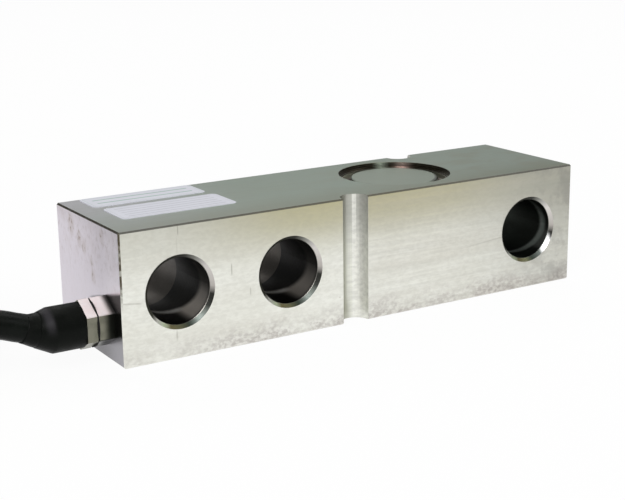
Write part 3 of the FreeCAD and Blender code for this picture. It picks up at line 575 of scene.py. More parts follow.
# %% [markdown]
# ## Ground steel of the beam
#
# One block of steel shows many finishes: ground faces, reamed bores, turned pockets, a milled
# groove and deburred edges.  The mesh could be cut up, with a material for each part, but the CAD
# node keeps its mesh.  So one material tells these places apart with masks: which way the face
# looks, and how far a point is from the axis of a hole, a groove or a pocket.  Each mask then picks
# a colour and a roughness.

# %% Places on the beam
BEAM_LOW, BEAM_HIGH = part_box("beam")
BORE_PLACES, BORE_HEIGHT = (-0.0667, -0.0286, 0.06665), 0.02065
BORE_RADIUS, BORE_CHAMFER = 0.0103, 0.00135
POCKET_X, POCKET_RADIUS = 0.02695, 0.0200
GROOVE_AXES = [(-0.00455, -0.0235), (0.04475, 0.0235)]  # x and y
GROOVE_RADIUS = 0.00482
TURNING_PITCH = 0.0006
SKIN_DEPTH, SKIN_SOFT = 0.000055, 0.000025  # how far under the flat faces a pocket begins


def distance_2d(a, b, a0, b0):
    """Distance of (a, b) from the point (a0, b0)."""
    da, db = minus(a, a0), minus(b, b0)
    return calc("SQRT", plus(times(da, da), times(db, db)))


def nearest(distances):
    """The smallest of several distances."""
    return fold("MINIMUM", distances)


def strongest(*masks):
    """The union of several masks."""
    return fold("MAXIMUM", masks)


def inside(distance, radius, soft=0.00005):
    """1 where the distance is under the radius."""
    return fade(distance, radius - soft, radius + soft)


def near_zero(value, full, none):
    """1 where the value is closer to zero than `full`, and 0 from `none` on."""
    return fade(calc("ABSOLUTE", value), full, none)


def stroke(value, centre, half_width):
    """1 on a thin line where the value is near its centre."""
    return near_zero(minus(value, centre), half_width * 0.4, half_width)


def between(value, low, high, soft):
    """1 from low to high."""
    return times(ramp(value, low - soft, low + soft), fade(value, high - soft, high + soft))


def but_not(mask, *others):
    """The mask outside the others."""
    return times(mask, *(calc("SUBTRACT", 1.0, other, clamp=True) for other in others))


def facing(part):
    """1 where the surface looks along an axis, from that part of its normal."""
    return ramp(calc("ABSOLUTE", part), 0.9, 0.95)


def turn_round(a, b):
    """The direction of (a, b) round the origin, from 0 to 1, with 0.5 along +a and 0.75 along +b."""
    angle = calc("ARCTAN2", b, a)
    return plus(calc("DIVIDE", angle, 2 * math.pi), 0.5)


def colour_stops(value, stops):
    """A colour ramp; each stop is a place from 0 to 1 and a colour."""
    made = add_node(tree_of(value), "ShaderNodeValToRGB")
    feed(made.inputs[0], value)
    elements = made.color_ramp.elements
    elements[0].position, elements[1].position = stops[0][0], stops[-1][0]
    for place, _ in stops[1:-1]:
        elements.new(place)
    for element, (_, colour) in zip(elements, stops):
        element.color = (*colour, 1.0)
    return made.outputs[0]


print("beam from", [round(v, 4) for v in BEAM_LOW], "to", [round(v, 4) for v in BEAM_HIGH])

# %% [markdown]
# ### Tone of the long side
#
# The ground side is pale and satin.  Its tone carries a painted reflection: darker and yellower
# toward the top edge, and darker toward the load end.  Long wavy lines follow the bar, and the lowest
# millimetres are mottled, where the bar stood on the bench.  One noise can't give all that, so the
# tone is painted in layers, from the broad ones to the specks.

# %% Long side
# The pale steel is the side's own tone; the darker, the warm and the load-end colours are a painted
# reflection.
PALE_STEEL, DIM_UPPER_REFLECTION, WARM_UPPER_REFLECTION = (0.925, 0.930, 0.865), (0.525, 0.520, 0.440), (0.515, 0.480, 0.270)
DIM_LOAD_END_REFLECTION, DARK_SPECK = (0.29, 0.30, 0.265), (0.24, 0.20, 0.14)


def side_tone(here, x, z):
    """The colour of the long side, with its grain and its mottled band."""
    # Painted reflection: darker and yellower toward the top edge, and darker toward the load end.
    high = times(ramp(z, 0.0215, 0.0445), ramp(x, -0.088, -0.030, 0.60, 1.0))
    warm = times(high, ramp(x, -0.075, -0.015), ramp(x, 0.02, 0.075, 1.0, 0.3))
    load_end = times(ramp(x, 0.022, 0.088), ramp(z, 0.004, 0.04, 0.34, 0.86))
    right_half = ramp(x, -0.012, 0.01, 0.4, 1.0)
    wavy = tool_marks(here, 0.09, 0.0038, (0.2, 0.0, 0.1))
    fine = tool_marks(here, 0.03, 0.0007)
    broad = stain(here, 0.012, 0.5, (0.6, 1.0, 1.3), (0.0, 0.2, 0.0))
    grain = stain(here, 0.0010, 0.5, (0.5, 1.0, 1.0), (0.4, 0.6, 0.1))

    blotch = stain(here, 0.0012, 0.52, (0.7, 1.0, 1.0), (0.7, 0.3, 0.9))
    patch = stain(here, 0.006, 0.6, (0.5, 1.0, 1.0), (0.2, 0.8, 0.1))
    low = times(fade(z, 0.0005, 0.0095), ramp(x, -0.08, -0.03, 0.35, 1.0))
    low_band = times(low, blotch, spread(patch, 0.4, 1.0))
    smudge = stain(here, 0.0055, 0.48, (1.0, 1.0, 0.8), (0.1, 0.5, 0.3))
    specks = effect(FINE_SPECKS, here, Size=0.009, Radius=0.05)
    tone = paint(
        PALE_STEEL,
        (high, DIM_UPPER_REFLECTION),
        (warm, WARM_UPPER_REFLECTION),
        (load_end, DIM_LOAD_END_REFLECTION),
        (times(wavy, right_half, 0.32), (0.60, 0.565, 0.48)),
        (times(fine, right_half, 0.27), (0.45, 0.44, 0.39)),
        (times(broad, 0.14), (0.60, 0.58, 0.48)),
        (times(grain, 0.12), (0.42, 0.41, 0.34)),
        (times(low, patch, 0.26), (0.60, 0.545, 0.535)),
        (times(low_band, 0.60), (0.40, 0.365, 0.34)),
        (times(smudge, ramp(x, 0.05, 0.083), 0.38), (0.24, 0.235, 0.22)),
        (times(specks, 0.5), DARK_SPECK),
    )
    return tone, grain, low_band


def scribed_marks(x, z):
    """Short marking-out lines round the first two holes, and a scratch beside the last one."""
    tilted = plus(z, times(plus(x, 0.0859), 0.13))
    slope = minus(z, times(x, 0.085))
    # what stays the same along the line, its value and half width; what runs, from, to, softness; strength
    lines = [
        (x, -0.0669, 0.0003, z, 0.0382, 0.0410, 0.0008, 0.8),
        (x, -0.0674, 0.0003, z, 0.0322, 0.0378, 0.0016, 0.20),
        (x, -0.0684, 0.0004, z, 0.0060, 0.0088, 0.0010, 0.55),
        (tilted, 0.02005, 0.00035, x, -0.0865, -0.0795, 0.0012, 0.55),
        (x, -0.0494, 0.00028, z, 0.0232, 0.0265, 0.0006, 0.8),
        (x, -0.0431, 0.00028, z, 0.0158, 0.0181, 0.0006, 0.5),
    ]
    marks = [
        times(stroke(same, centre, width), between(runs, start, end, soft), strength)
        for same, centre, width, runs, start, end, soft, strength in lines
    ]
    scratch_length = times(ramp(x, 0.030, 0.052), fade(x, 0.054, 0.057))
    return strongest(*marks, times(stroke(slope, 0.0149, 0.00030), scratch_length, 0.35))


# The heat-tint named in this line is the painted warm reflection.
print("long side: ground lines, heat-tint, a mottled band and marking-out lines")

# %% [markdown]
# ### Top and cable end
#
# The top is greener and darker toward the load end, paler at the back of the cable end, with a few
# brown clouds.  The cable end is polished and a little violet, with brown drips, and it mirrors the
# gland as a dark patch.  A soft mirror of so small a thing comes out grey and noisy, so the patch is
# painted: it is what lies between two slanting lines beside the gland.  Below the gland the end face
# is painted with shade, darker next to it.

# %% Top and cable end
TOP_FRONT_TONE, TOP_BACK_TONE = (0.425, 0.465, 0.375), (0.475, 0.555, 0.475)
TOP_PALE_TONE, TOP_GREEN_TONE, TOP_CLOUD_BROWN = (0.76, 0.745, 0.78), (0.34, 0.40, 0.30), (0.40, 0.40, 0.29)
POLISHED_DIM, POLISHED = (0.69, 0.645, 0.705), (0.97, 0.915, 0.98)
DRIPS = [  # y, z, reach and strength of each brown drip
    (0.0120, 0.0368, 0.0050, 1.0),
    (0.0060, 0.0335, 0.0042, 0.9),
    (0.0024, 0.0318, 0.0036, 1.0),
    (-0.0028, 0.0283, 0.0030, 0.7),
    (-0.0035, 0.0238, 0.0034, 0.9),
    (-0.0115, 0.0378, 0.0036, 0.8),
]
DRIP_SLIMNESS = 1.4
GLAND_Y = -0.012
PATCH_TOP_SLOPE, PATCH_FOOT_SLOPE = 0.27, 0.41


def top_tone(here, x, y):
    """The colour of the top."""
    pale = times(ramp(x, -0.022, -0.088), ramp(y, -0.028, 0.022, 0.25, 1.0))
    front_right = times(ramp(x, 0.03, 0.08), fade(y, -0.023, -0.010))
    clouds = stain(here, 0.008, 0.42, (0.5, 1.0, 1.0), (0.15, 0.0, 0.0))
    return paint(
        TOP_FRONT_TONE,
        (ramp(y, -0.026, -0.004), TOP_BACK_TONE),
        (pale, TOP_PALE_TONE),
        (times(front_right, 0.6), TOP_GREEN_TONE),
        (times(clouds, ramp(x, -0.02, 0.06, 0.12, 0.40)), TOP_CLOUD_BROWN),
        (times(tool_marks(here, 0.05, 0.0009, (0.0, 0.3, 0.0)), 0.07), (0.30, 0.33, 0.29)),
    )


def drip_mask(y, z):
    """1 in the middle of a drip; drips are slimmer than they are high."""
    drips = []
    for place_y, place_z, reach, strength in DRIPS:
        off_y = times(minus(y, place_y), DRIP_SLIMNESS)
        away = distance_2d(off_y, z, 0.0, place_z)
        drips.append(ramp(away, reach * 0.2, reach, strength, 0.0))
    return strongest(*drips)


def end_tone(here, y, z):
    """The colour of the cable end."""
    patches = stain(here, 0.0075, 0.36, (1.0, 1.0, 0.8), (0.4, 0.0, 0.6))
    spots = stain(here, 0.0014, 0.30, (1.0, 1.0, 0.7), (0.1, 0.7, 0.2))
    drips = drip_mask(y, z)
    upper = ramp(z, 0.017, 0.036, 0.10, 0.45)
    off_gland = minus(y, GLAND_Y)
    from_top = calc("MULTIPLY_ADD", off_gland, PATCH_TOP_SLOPE, z)
    from_foot = calc("MULTIPLY_ADD", off_gland, PATCH_FOOT_SLOPE, z)
    beside = ramp(y, 0.002, -0.004)
    mirrored = times(ramp(from_foot, 0.0047, 0.0060), fade(from_top, 0.0193, 0.0205))
    # Painted shade on the end face below the gland, darker next to it.
    under = blend(ramp(y, -0.0205, -0.0080), (0.200, 0.200, 0.215), (0.100, 0.102, 0.104))
    return paint(
        blend(ramp(y, -0.008, -0.024), POLISHED_DIM, POLISHED),
        (ramp(z, 0.0350, 0.0410, 0.0, 0.25), (0.40, 0.35, 0.36)),
        (times(patches, upper, 0.30), (0.42, 0.33, 0.30)),
        (times(drips, spread(spots, 0.42, 1.0), 0.75), (0.36, 0.28, 0.23)),
        (times(spots, strongest(drips, times(upper, 0.6)), 0.90), (0.22, 0.155, 0.12)),
        (times(beside, ramp(z, 0.0125, 0.0100, 0.0, 0.85)), under),
        (times(beside, mirrored, 0.97), (0.020, 0.021, 0.019)),
    )


print("cable end:", len(DRIPS), "drips")

# %% [markdown]
# ### Holes, groove and pocket
#
# A reamed hole is painted nearly black inside as shade, its near half darker than its far half, with
# one soft bright line where it mirrors its own rim.  Its chamfer mirrors the room in bands, so its
# colour goes round with the angle.  The milled groove has a bright highlight stripe down its middle
# and is painted darker toward its top.  The turned pocket is painted dark as shade, with fine bright
# rings as highlights.  In a studio these reflections come from many cards and flags round the camera;
# here the few that matter are painted where they fall, which keeps the lamps plain.

# %% Holes
# The chamfer's colours round each hole are painted reflections of the room.
RIM_STOPS = [  # the chamfer's colour, from its left side round by its foot, right side and top
    (0.00, (0.09, 0.09, 0.07)),
    (0.09, (0.14, 0.14, 0.11)),
    (0.125, (1.00, 1.00, 0.92)),
    (0.165, (0.62, 0.70, 0.50)),
    (0.20, (0.16, 0.14, 0.07)),
    (0.25, (0.19, 0.19, 0.11)),
    (0.29, (0.08, 0.10, 0.08)),
    (0.335, (0.23, 0.26, 0.24)),
    (0.37, (0.09, 0.10, 0.09)),
    (0.41, (0.028, 0.030, 0.027)),
    (0.465, (0.045, 0.045, 0.040)),
    (0.50, (0.50, 0.47, 0.44)),
    (0.60, (0.74, 0.71, 0.68)),
    (0.67, (0.36, 0.36, 0.33)),
    (0.72, (0.11, 0.11, 0.10)),
    (0.80, (0.10, 0.10, 0.08)),
]
# Painted shade inside the holes: the near half darker than the far half, with cloudy stains.
NEAR_WALL, NEAR_WALL_LAST, NEAR_STAIN = (0.006, 0.0055, 0.005), (0.048, 0.056, 0.048), (0.024, 0.021, 0.018)
FAR_WALL, FAR_WALL_LAST, FAR_STAIN = (0.086, 0.076, 0.067), (0.055, 0.064, 0.055), (0.050, 0.043, 0.037)
WARM_MIRROR, WHITE_MIRROR = (0.880, 0.820, 0.760), (0.92, 0.92, 0.90)
DIM_ARC, BRIGHT_ARC = (0.50, 0.52, 0.49), (0.64, 0.70, 0.66)
RIM_LINE_SLOPE, RIM_LINE_DEPTH = -0.83, 0.0150  # how deep in the hole the mirrored rim lies, on its axis
ARC_SLOPE, ARC_DEPTH = -0.60, 0.0105


def from_axis(x, z):
    """Sideways distance from the axis of the hole that a point belongs to."""
    total = 0.0
    for place in BORE_PLACES:
        near = inside(distance_2d(x, z, place, BORE_HEIGHT), BORE_RADIUS + 0.003)
        total = plus(total, times(near, minus(x, place)))
    return total


def right_side(dx):
    """1 on the right-hand half of a hole's wall."""
    return ramp(dx, -0.003, 0.001)


def mirrored_rim(wall, dx, dz, depth, x, first_holes):
    """The wall of the first two holes, with the rim that it mirrors as a slanting line."""
    past = minus(depth, calc("MULTIPLY_ADD", dx, RIM_LINE_SLOPE, RIM_LINE_DEPTH))
    low = times(ramp(dz, -0.0101, -0.0088), ramp(dz, -0.0075, 0.0010, 1.0, 0.14))
    low_right = times(low, right_side(dx), ramp(x, -0.05, -0.045, 1.0, 0.72))
    off_chamfer = ramp(depth, 0.0012, 0.0030, 0.45, 1.0)
    mouth = times(fade(past, -0.0008, 0.0024), low_right, first_holes, off_chamfer)
    foot = times(ramp(dz, -0.0085, -0.0096), ramp(dx, -0.004, 0.0))
    floor_line = times(near_zero(past, 0.0003, 0.0026), first_holes, foot)
    return paint(wall, (mouth, WARM_MIRROR), (floor_line, WHITE_MIRROR))


def mirrored_arcs(wall, dx, dz, depth, first_holes):
    """The wall of the last hole, with two pale arcs."""
    off_arc = minus(depth, calc("MULTIPLY_ADD", dx, ARC_SLOPE, ARC_DEPTH))
    last_hole = times(minus(1.0, first_holes), right_side(dx), ramp(dz, 0.0088, 0.0045, 0.25, 1.0))
    low = times(ramp(dz, -0.0086, -0.0070), ramp(dz, 0.0, -0.004))
    return paint(
        wall,
        (times(fade(off_arc, 0.0, 0.0018), low, last_hole, 0.55), DIM_ARC),
        (times(near_zero(off_arc, 0.0004, 0.0021), last_hole), BRIGHT_ARC),
    )


def hole_tones(here, x, y, z):
    """Colours of the bore and of its chamfer: painted shade inside, and painted reflections on both."""
    dx, dz = from_axis(x, z), minus(z, BORE_HEIGHT)
    depth = minus(y, BEAM_LOW.y)
    glint = times(ramp(x, 0.05, 0.055), between(dx, 0.0066, 0.0102, 0.0007), ramp(dz, -0.002, -0.004))
    rim = blend(glint, colour_stops(turn_round(dx, dz), RIM_STOPS), (1.0, 1.0, 1.0))

    clouds = stain(here, 0.005, 0.5, (1.0, 0.5, 1.0))
    first_holes = fade(x, 0.0, 0.05)
    near = blend(first_holes, NEAR_WALL_LAST, NEAR_WALL)
    near = blend(times(clouds, 0.3), near, NEAR_STAIN)
    near = mirrored_rim(near, dx, dz, depth, x, first_holes)
    near = mirrored_arcs(near, dx, dz, depth, first_holes)
    far = blend(times(clouds, 0.5), FAR_WALL, FAR_STAIN)
    far = blend(first_holes, FAR_WALL_LAST, far)
    return blend(ramp(y, -0.0001, 0.0001), near, far), rim


print("holes at X", BORE_PLACES, "with", len(RIM_STOPS), "tones round each chamfer")

# %% Groove and pocket
# The colours across the groove are a painted highlight stripe between darker walls.
GROOVE_STOPS = [  # from the wall that looks toward the load end to the one that looks toward the cable
    (0.00, (0.15, 0.15, 0.13)),
    (0.27, (0.26, 0.26, 0.22)),
    (0.31, (0.33, 0.33, 0.28)),
    (0.41, (0.55, 0.56, 0.49)),
    (0.51, (0.77, 0.78, 0.70)),
    (0.66, (0.89, 0.90, 0.81)),
    (0.735, (1.00, 1.00, 0.94)),
    (0.79, (0.93, 0.93, 0.85)),
    (0.85, (0.90, 0.90, 0.83)),
    (0.90, (1.00, 1.00, 0.93)),
    (1.00, (0.90, 0.90, 0.83)),
]
# In the pocket the dark turned steel is painted shade, the bright rings are painted highlights on its edges,
# and mint and pink are painted reflections.
BRIGHT_RINGS = (0.0187, 0.0178, 0.0166)
DARK_TURNED, PALE_TURNED, RING_GLINT = (0.058, 0.050, 0.039), (0.140, 0.121, 0.094), (0.78, 0.80, 0.70)
MINT, PINK = (0.92, 1.0, 0.88), (0.80, 0.60, 0.56)


def groove_tone(here, z, nx):
    """The painted highlight stripe of the milled grooves follows the way their wall looks along the bar; the
    groove is painted darker toward its top as shade, and darker near its foot.
    """
    marks = tool_marks(here, 0.03, 0.0006, (0.5, 0.1, 0.3))
    off_stripe = ramp(calc("ABSOLUTE", plus(nx, 0.47)), 0.06, 0.20, 0.25, 1.0)
    return paint(
        colour_stops(calc("MULTIPLY_ADD", nx, -0.5, 0.5), GROOVE_STOPS),
        (times(marks, 0.50), (0.55, 0.55, 0.50)),
        (times(ramp(z, 0.0085, 0.003), ramp(nx, -0.30, 0.05), 0.55), (0.38, 0.38, 0.30)),
        (times(ramp(z, 0.018, 0.040, 0.0, 0.60), off_stripe), (0.28, 0.28, 0.25)),
    )


def ring_tone(x, y, z, radius):
    """Turned steel painted dark as shade, with fine lines and painted bright rings; its back wall mirrors the
    pale room in two painted patches.
    """
    turned = times(plus(radius, z), 2 * math.pi / TURNING_PITCH)
    lines = calc("SINE", turned)
    around = turn_round(minus(x, POCKET_X), y)
    high = ramp(z, 0.0386, 0.0401, 0.10, 1.0)
    glints = [(times(stroke(radius, ring, 0.00028), 0.90), RING_GLINT) for ring in BRIGHT_RINGS]
    tone = paint(
        blend(ramp(lines, 0.2, 1.0), DARK_TURNED, PALE_TURNED),
        *glints,
        (times(between(around, 0.680, 0.706, 0.016), high, 0.9), MINT),
        (times(between(around, 0.610, 0.645, 0.022), high, 0.75), PINK),
    )
    return tone, lines


print("groove with", len(GROOVE_STOPS), "tones, pocket with", len(BRIGHT_RINGS), "bright rings")

# %% [markdown]
# ### All of the beam in one material
#
# The masks decide the order: the faces come first, then the edges, the groove and the pocket, and
# the bores last, since they cut through all the rest.  The roughness follows the same masks, so a
# place that looks turned also shines like one.

# %% Beam material
def beam_masks(x, y, z, nx, ny, nz, from_pocket):
    """Where each finish of the beam lies."""
    top, side, end = (facing(part) for part in (nz, ny, nx))
    slanted = minus(1.0, strongest(top, side, end))
    from_bore = nearest([distance_2d(x, z, place, BORE_HEIGHT) for place in BORE_PLACES])
    in_bore = inside(from_bore, BORE_RADIUS + 0.0001)
    rim = times(but_not(inside(from_bore, BORE_RADIUS + BORE_CHAMFER), in_bore), slanted)
    from_groove = nearest([distance_2d(x, y, *axis) for axis in GROOVE_AXES])
    upright = fade(calc("ABSOLUTE", nz), 0.1, 0.2)
    groove = times(inside(from_groove, GROOVE_RADIUS), upright)
    sunk = between(z, SKIN_DEPTH, BEAM_HIGH.z - SKIN_DEPTH, SKIN_SOFT)
    pocket = times(inside(from_pocket, POCKET_RADIUS), sunk)
    return {
        "top": top,
        "side": side,
        "cable_end": ramp(times(nx, -1.0), 0.9, 0.95),
        "groove": groove,
        "pocket": pocket,
        "bore": in_bore,
        "rim": rim,
        "edge": but_not(slanted, in_bore, rim, groove, pocket),
    }


MASK_ROUGHNESS = {
    "top": 0.30, "cable_end": 0.32, "groove": 0.33, "pocket": 0.30, "bore": 0.42, "rim": 0.40, "edge": 0.34,
}


def make_beam_steel():
    """Ground steel that knows each place on the beam."""
    material, tree, shader = new_material("ground_steel", metallic=1.0)
    here = position(tree)
    x, y, z = split(here)
    nx, ny, nz = normal_parts(tree)
    from_pocket = distance_2d(x, y, POCKET_X, 0.0)
    where = beam_masks(x, y, z, nx, ny, nz, from_pocket)
    face, grain, low_band = side_tone(here, x, z)
    marks = times(scribed_marks(x, z), where["side"])
    bore_colour, rim_colour = hole_tones(here, x, y, z)
    ring_colour, rings = ring_tone(x, y, z, from_pocket)
    # Painted shade: the upward chamfers and the upper part of the cable end's upright edges are painted dark,
    # the latter in patches.
    edge_shade_patches = spread(stain(here, 0.0015, 0.6), 0.5, 1.0)
    left_edge = times(where["edge"], ramp(nx, -0.3, -0.6), ramp(z, 0.016, 0.027), edge_shade_patches)
    colour = paint(
        face,
        (times(marks, 0.5), (0.22, 0.20, 0.16)),
        (where["cable_end"], end_tone(here, y, z)),
        (where["top"], top_tone(here, x, y)),
        (times(where["edge"], ramp(nz, 0.3, 0.6), 0.85), (0.13, 0.125, 0.11)),
        (left_edge, (0.10, 0.085, 0.06)),
        (where["groove"], groove_tone(here, z, nx)),
        (where["pocket"], ring_colour),
        (where["bore"], bore_colour),
        (where["rim"], rim_colour),
    )
    rough = plus(spread(grain, 0.35, 0.41), times(low_band, 0.12))
    for place, value in MASK_ROUGHNESS.items():
        keep = times(rough, minus(1.0, where[place]))
        rough = plus(keep, times(where[place], value))
    relief = plus(times(grain, 0.5), times(rings, where["pocket"], 0.6))
    relief = minus(relief, marks)
    set_finish(shader, colour, rough, bump(relief, 0.10, 0.0002))
    pale_lip = times(where["groove"], ramp(nx, -0.70, -0.84), 0.55)
    feed(shader.inputs["Metallic"], minus(1.0, pale_lip))
    return material


def dress(material, *nodes):
    """Gives CAD nodes a material."""
    for node in nodes:
        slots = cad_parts[node].data.materials
        slots.clear()
        slots.append(material)


BEAM_STEEL = make_beam_steel()
dress(BEAM_STEEL, "beam")
print("beam dressed in ground steel of", len(BEAM_STEEL.node_tree.nodes), "shader nodes")

# %% [markdown]
# ## Pressed covers
#
# A thin steel hat closes each gauge pocket.  It is turned on a lathe after pressing, so its fine
# lines are rings round the pocket's axis.  A ring texture round the origin would sit off the
# cover, so the rings follow the distance from the pocket's own axis.  The flat top has the same
# calm tone as the beam's top.

# %% Cover material
CROWN_RADIUS = 0.0147
COVER_PITCH = 0.00055
CROWN, CROWN_STAIN, FRONT_SHADOW = (0.475, 0.535, 0.455), (0.445, 0.500, 0.410), (0.10, 0.10, 0.09)


def make_cover_steel():
    """Turned steel: a calm crown, and the pocket's rings on the brim."""
    material, tree, shader = new_material("pressed_cover_steel", metallic=1.0)
    here = position(tree)
    x, y, z = split(here)
    radius = distance_2d(x, y, POCKET_X, 0.0)
    rings = calc("SINE", times(radius, 2 * math.pi / COVER_PITCH))
    crown = inside(radius, CROWN_RADIUS)
    aside = ramp(calc("ABSOLUTE", minus(x, POCKET_X)), 0.0035, 0.0085)
    front_line = times(stroke(radius, 0.01430, 0.00065), ramp(y, -0.002, -0.006), aside)
    flat = paint(
        CROWN,
        (times(stain(here, 0.008, 0.5), 0.35), CROWN_STAIN),
        (times(front_line, 0.75), FRONT_SHADOW),
    )
    brim, _ = ring_tone(x, y, z, radius)
    turned = bump(rings, 0.05, 0.0001)
    set_finish(shader, blend(crown, brim, flat), spread(crown, 0.22, 0.31), turned)
    return material


dress(make_cover_steel(), "upper_gauge_cover", "lower_gauge_cover")
print("covers dressed, rings", COVER_PITCH * 1000, "mm apart")

# %% [markdown]
# ## Growing a piece with Geometry Nodes
#
# Some pieces are one small form repeated along a path, such as the scallops of a weld.  They could
# be modelled one by one; a Geometry Nodes tree repeats the form instead, and its named inputs hold
# the sizes.  The result is turned into a plain mesh, because an exported part has no modifiers.

# %% Helpers for Geometry Nodes
def geometry_tree(name, numbers=(), counts=()):
    """A new tree with a geometry output, named inputs and a material input."""
    tree = bpy.data.node_groups.new(name, "GeometryNodeTree")
    tree.interface.new_socket("Geometry", in_out="OUTPUT", socket_type="NodeSocketGeometry")
    for label in numbers:
        tree.interface.new_socket(label, in_out="INPUT", socket_type="NodeSocketFloat")
    for label in counts:
        tree.interface.new_socket(label, in_out="INPUT", socket_type="NodeSocketInt")
    tree.interface.new_socket("Finish", in_out="INPUT", socket_type="NodeSocketMaterial")
    return tree, tree.nodes.new("NodeGroupInput").outputs, tree.nodes.new("NodeGroupOutput")


def end_tree(shape, finish, output):
    """Realizes the instances, shades them smooth, sets the finish and ends the tree."""
    tree = tree_of(shape)
    real = feed_all(add_node(tree, "GeometryNodeRealizeInstances"), shape)
    smooth = add_node(tree, "GeometryNodeSetShadeSmooth")
    feed_all(smooth, **{"Geometry": real, "Shade Smooth": True})
    painted = add_node(tree, "GeometryNodeSetMaterial")
    feed_all(painted, Geometry=smooth.outputs[0], Material=finish)
    feed(output.inputs["Geometry"], painted.outputs[0])


def grow(name, tree, **values):
    """Runs a tree once with its inputs set and keeps the result as a plain mesh."""
    piece = add_object(name, bpy.data.meshes.new(name))
    modifier = piece.modifiers.new("grow", "NODES")
    modifier.node_group = tree
    for item in tree.interface.items_tree:
        if item.item_type == "SOCKET" and item.in_out == "INPUT" and item.name in values:
            modifier[item.identifier] = values[item.name]
    bpy.context.view_layer.update()
    grown = piece.evaluated_get(bpy.context.evaluated_depsgraph_get())
    mesh = bpy.data.meshes.new_from_object(grown)
    piece.modifiers.clear()
    piece.data = mesh
    mesh.name = name
    print(name, "has", len(mesh.polygons), "faces")
    return piece


print("helpers for Geometry Nodes ready")

# %% [markdown]
# ## Weld round the covers
#
# The brim of each cover is welded to its ledge all the way round.  A pulsed weld leaves a row of
# overlapping scallops, like a row of tiny coins pushed over.  A bump map would vanish seen from the
# side, so the scallops are real: each is a flattened ball on a circle, turned to follow it.

# %% Weld beads
WELD_RADIUS, SCALLOP_RADIUS, SCALLOPS = 0.01742, 0.0006, 150
SCALLOP_SHAPE = (0.62, 0.62, 1.05)
WELD_HEIGHTS = {"upper_weld": 0.03735, "lower_weld": 0.00395}


def build_weld_tree():
    """Flattened balls on a circle."""
    sizes = ("Ring Radius", "Scallop", "Height", "Axis X")
    tree, given, output = geometry_tree("weld_scallops", sizes, ("Count",))
    circle = add_node(tree, "GeometryNodeCurvePrimitiveCircle")
    feed_all(circle, Radius=given["Ring Radius"], Resolution=180)
    points = add_node(tree, "GeometryNodeCurveToPoints", mode="COUNT")
    feed_all(points, Curve=circle.outputs[0], Count=given["Count"])
    ball = add_node(tree, "GeometryNodeMeshUVSphere")
    feed_all(ball, Segments=10, Rings=6, Radius=given["Scallop"])
    placed = add_node(tree, "GeometryNodeInstanceOnPoints")
    feed_all(placed, Points=points.outputs["Points"], Instance=ball.outputs["Mesh"])
    feed_all(placed, Rotation=points.outputs["Rotation"], Scale=SCALLOP_SHAPE)
    moved = add_node(tree, "GeometryNodeTransform")
    centre = joined(given["Axis X"], 0.0, given["Height"])
    feed_all(moved, Geometry=placed.outputs[0], Translation=centre)
    end_tree(moved.outputs[0], given["Finish"], output)
    return tree


def make_weld_material():
    """Weld metal, blued in patches."""
    material, tree, shader = new_material("weld_bead", metallic=1.0)
    tone = stain(position(tree), 0.0016, 0.5)
    colour = blend(tone, (0.40, 0.37, 0.34), (0.20, 0.17, 0.16))
    set_finish(shader, colour, spread(tone, 0.28, 0.5))
    return material


WELD_TREE, WELD_FINISH = build_weld_tree(), make_weld_material()
for name, height in WELD_HEIGHTS.items():
    sizes = {"Ring Radius": WELD_RADIUS, "Scallop": SCALLOP_RADIUS, "Height": height, "Axis X": POCKET_X}
    weld = grow(name, WELD_TREE, Count=SCALLOPS, Finish=WELD_FINISH, **sizes)
    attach(weld, "root")

# %% [markdown]
# ## Gland and rubber boot
#
# The gland is nickel-plated brass.  Its upper flats are painted bright as lit; they are not metallic,
# so they also catch the lamp.  Its front flats are painted dull as shaded.  Toward the beam the flats
# mirror the dark gap, so the metal is painted falling off to black there, and the body's lower flats
# next to the beam are painted with shade.  The washer, the seal and the boot are black rubber.  Plain
# black would look like a hole, so rubber is a dark base with a rather even, dull gloss, and a fine bump
# keeps its highlight from looking wet.  On the boot's shoulder a highlight is painted in grey on its
# upper side.

# %% Gland and rubber materials
SHADED_NICKEL, SHADED_NICKEL_STAIN = (0.215, 0.210, 0.165), (0.15, 0.15, 0.115)
LIT_NICKEL, LIT_NICKEL_STAIN = (1.0, 0.90, 0.90), (0.95, 0.72, 0.68)
DULL_SHADE, BRIGHT_SHADE, UNDER_SHADE = (0.018, 0.020, 0.016), (0.012, 0.011, 0.010), (0.05, 0.052, 0.046)
RUBBER_GLOSS = 0.07
# The grey of the painted highlight on the boot's shoulder, and the stretch of X that it covers.
PAINTED_SHEEN_GREY = (0.036, 0.034, 0.038)
BOOT_SHEEN_SPAN = (-0.1062, -0.1040)


def make_gland_metal():
    """Nickel plate, painted bright above as lit and dull in front as shaded, with painted shade toward the
    beam and under the body.
    """
    material, tree, shader = new_material("nickel_plate", metallic=1.0)
    here = position(tree)
    x = split(here)[0]
    nz = normal_parts(tree)[2]
    facing_up = ramp(nz, 0.2, 0.6)
    tone = stain(here, 0.0030, 0.45)
    # Painted light: the upper flats are a lit copy of the nickel, the front flats a shaded copy.
    dull = blend(times(tone, 0.5), SHADED_NICKEL, SHADED_NICKEL_STAIN)
    bright = blend(times(tone, 0.22), LIT_NICKEL, LIT_NICKEL_STAIN)
    # Painted reflection of the dark gap toward the beam, and painted shade on the body's lower flats.
    near_beam = blend(facing_up, ramp(x, -0.0900, -0.0872), ramp(x, -0.0884, -0.0861))
    below = times(ramp(nz, -0.2, -0.4), ramp(x, -0.0911, -0.0907))
    colour = paint(
        blend(facing_up, dull, bright),
        (times(near_beam, 0.97), blend(facing_up, DULL_SHADE, BRIGHT_SHADE)),
        (times(below, 0.9), UNDER_SHADE),
    )
    set_finish(shader, colour, spread(tone, 0.30, 0.38))
    feed(shader.inputs["Metallic"], fade(nz, 0.2, 0.6))
    return material


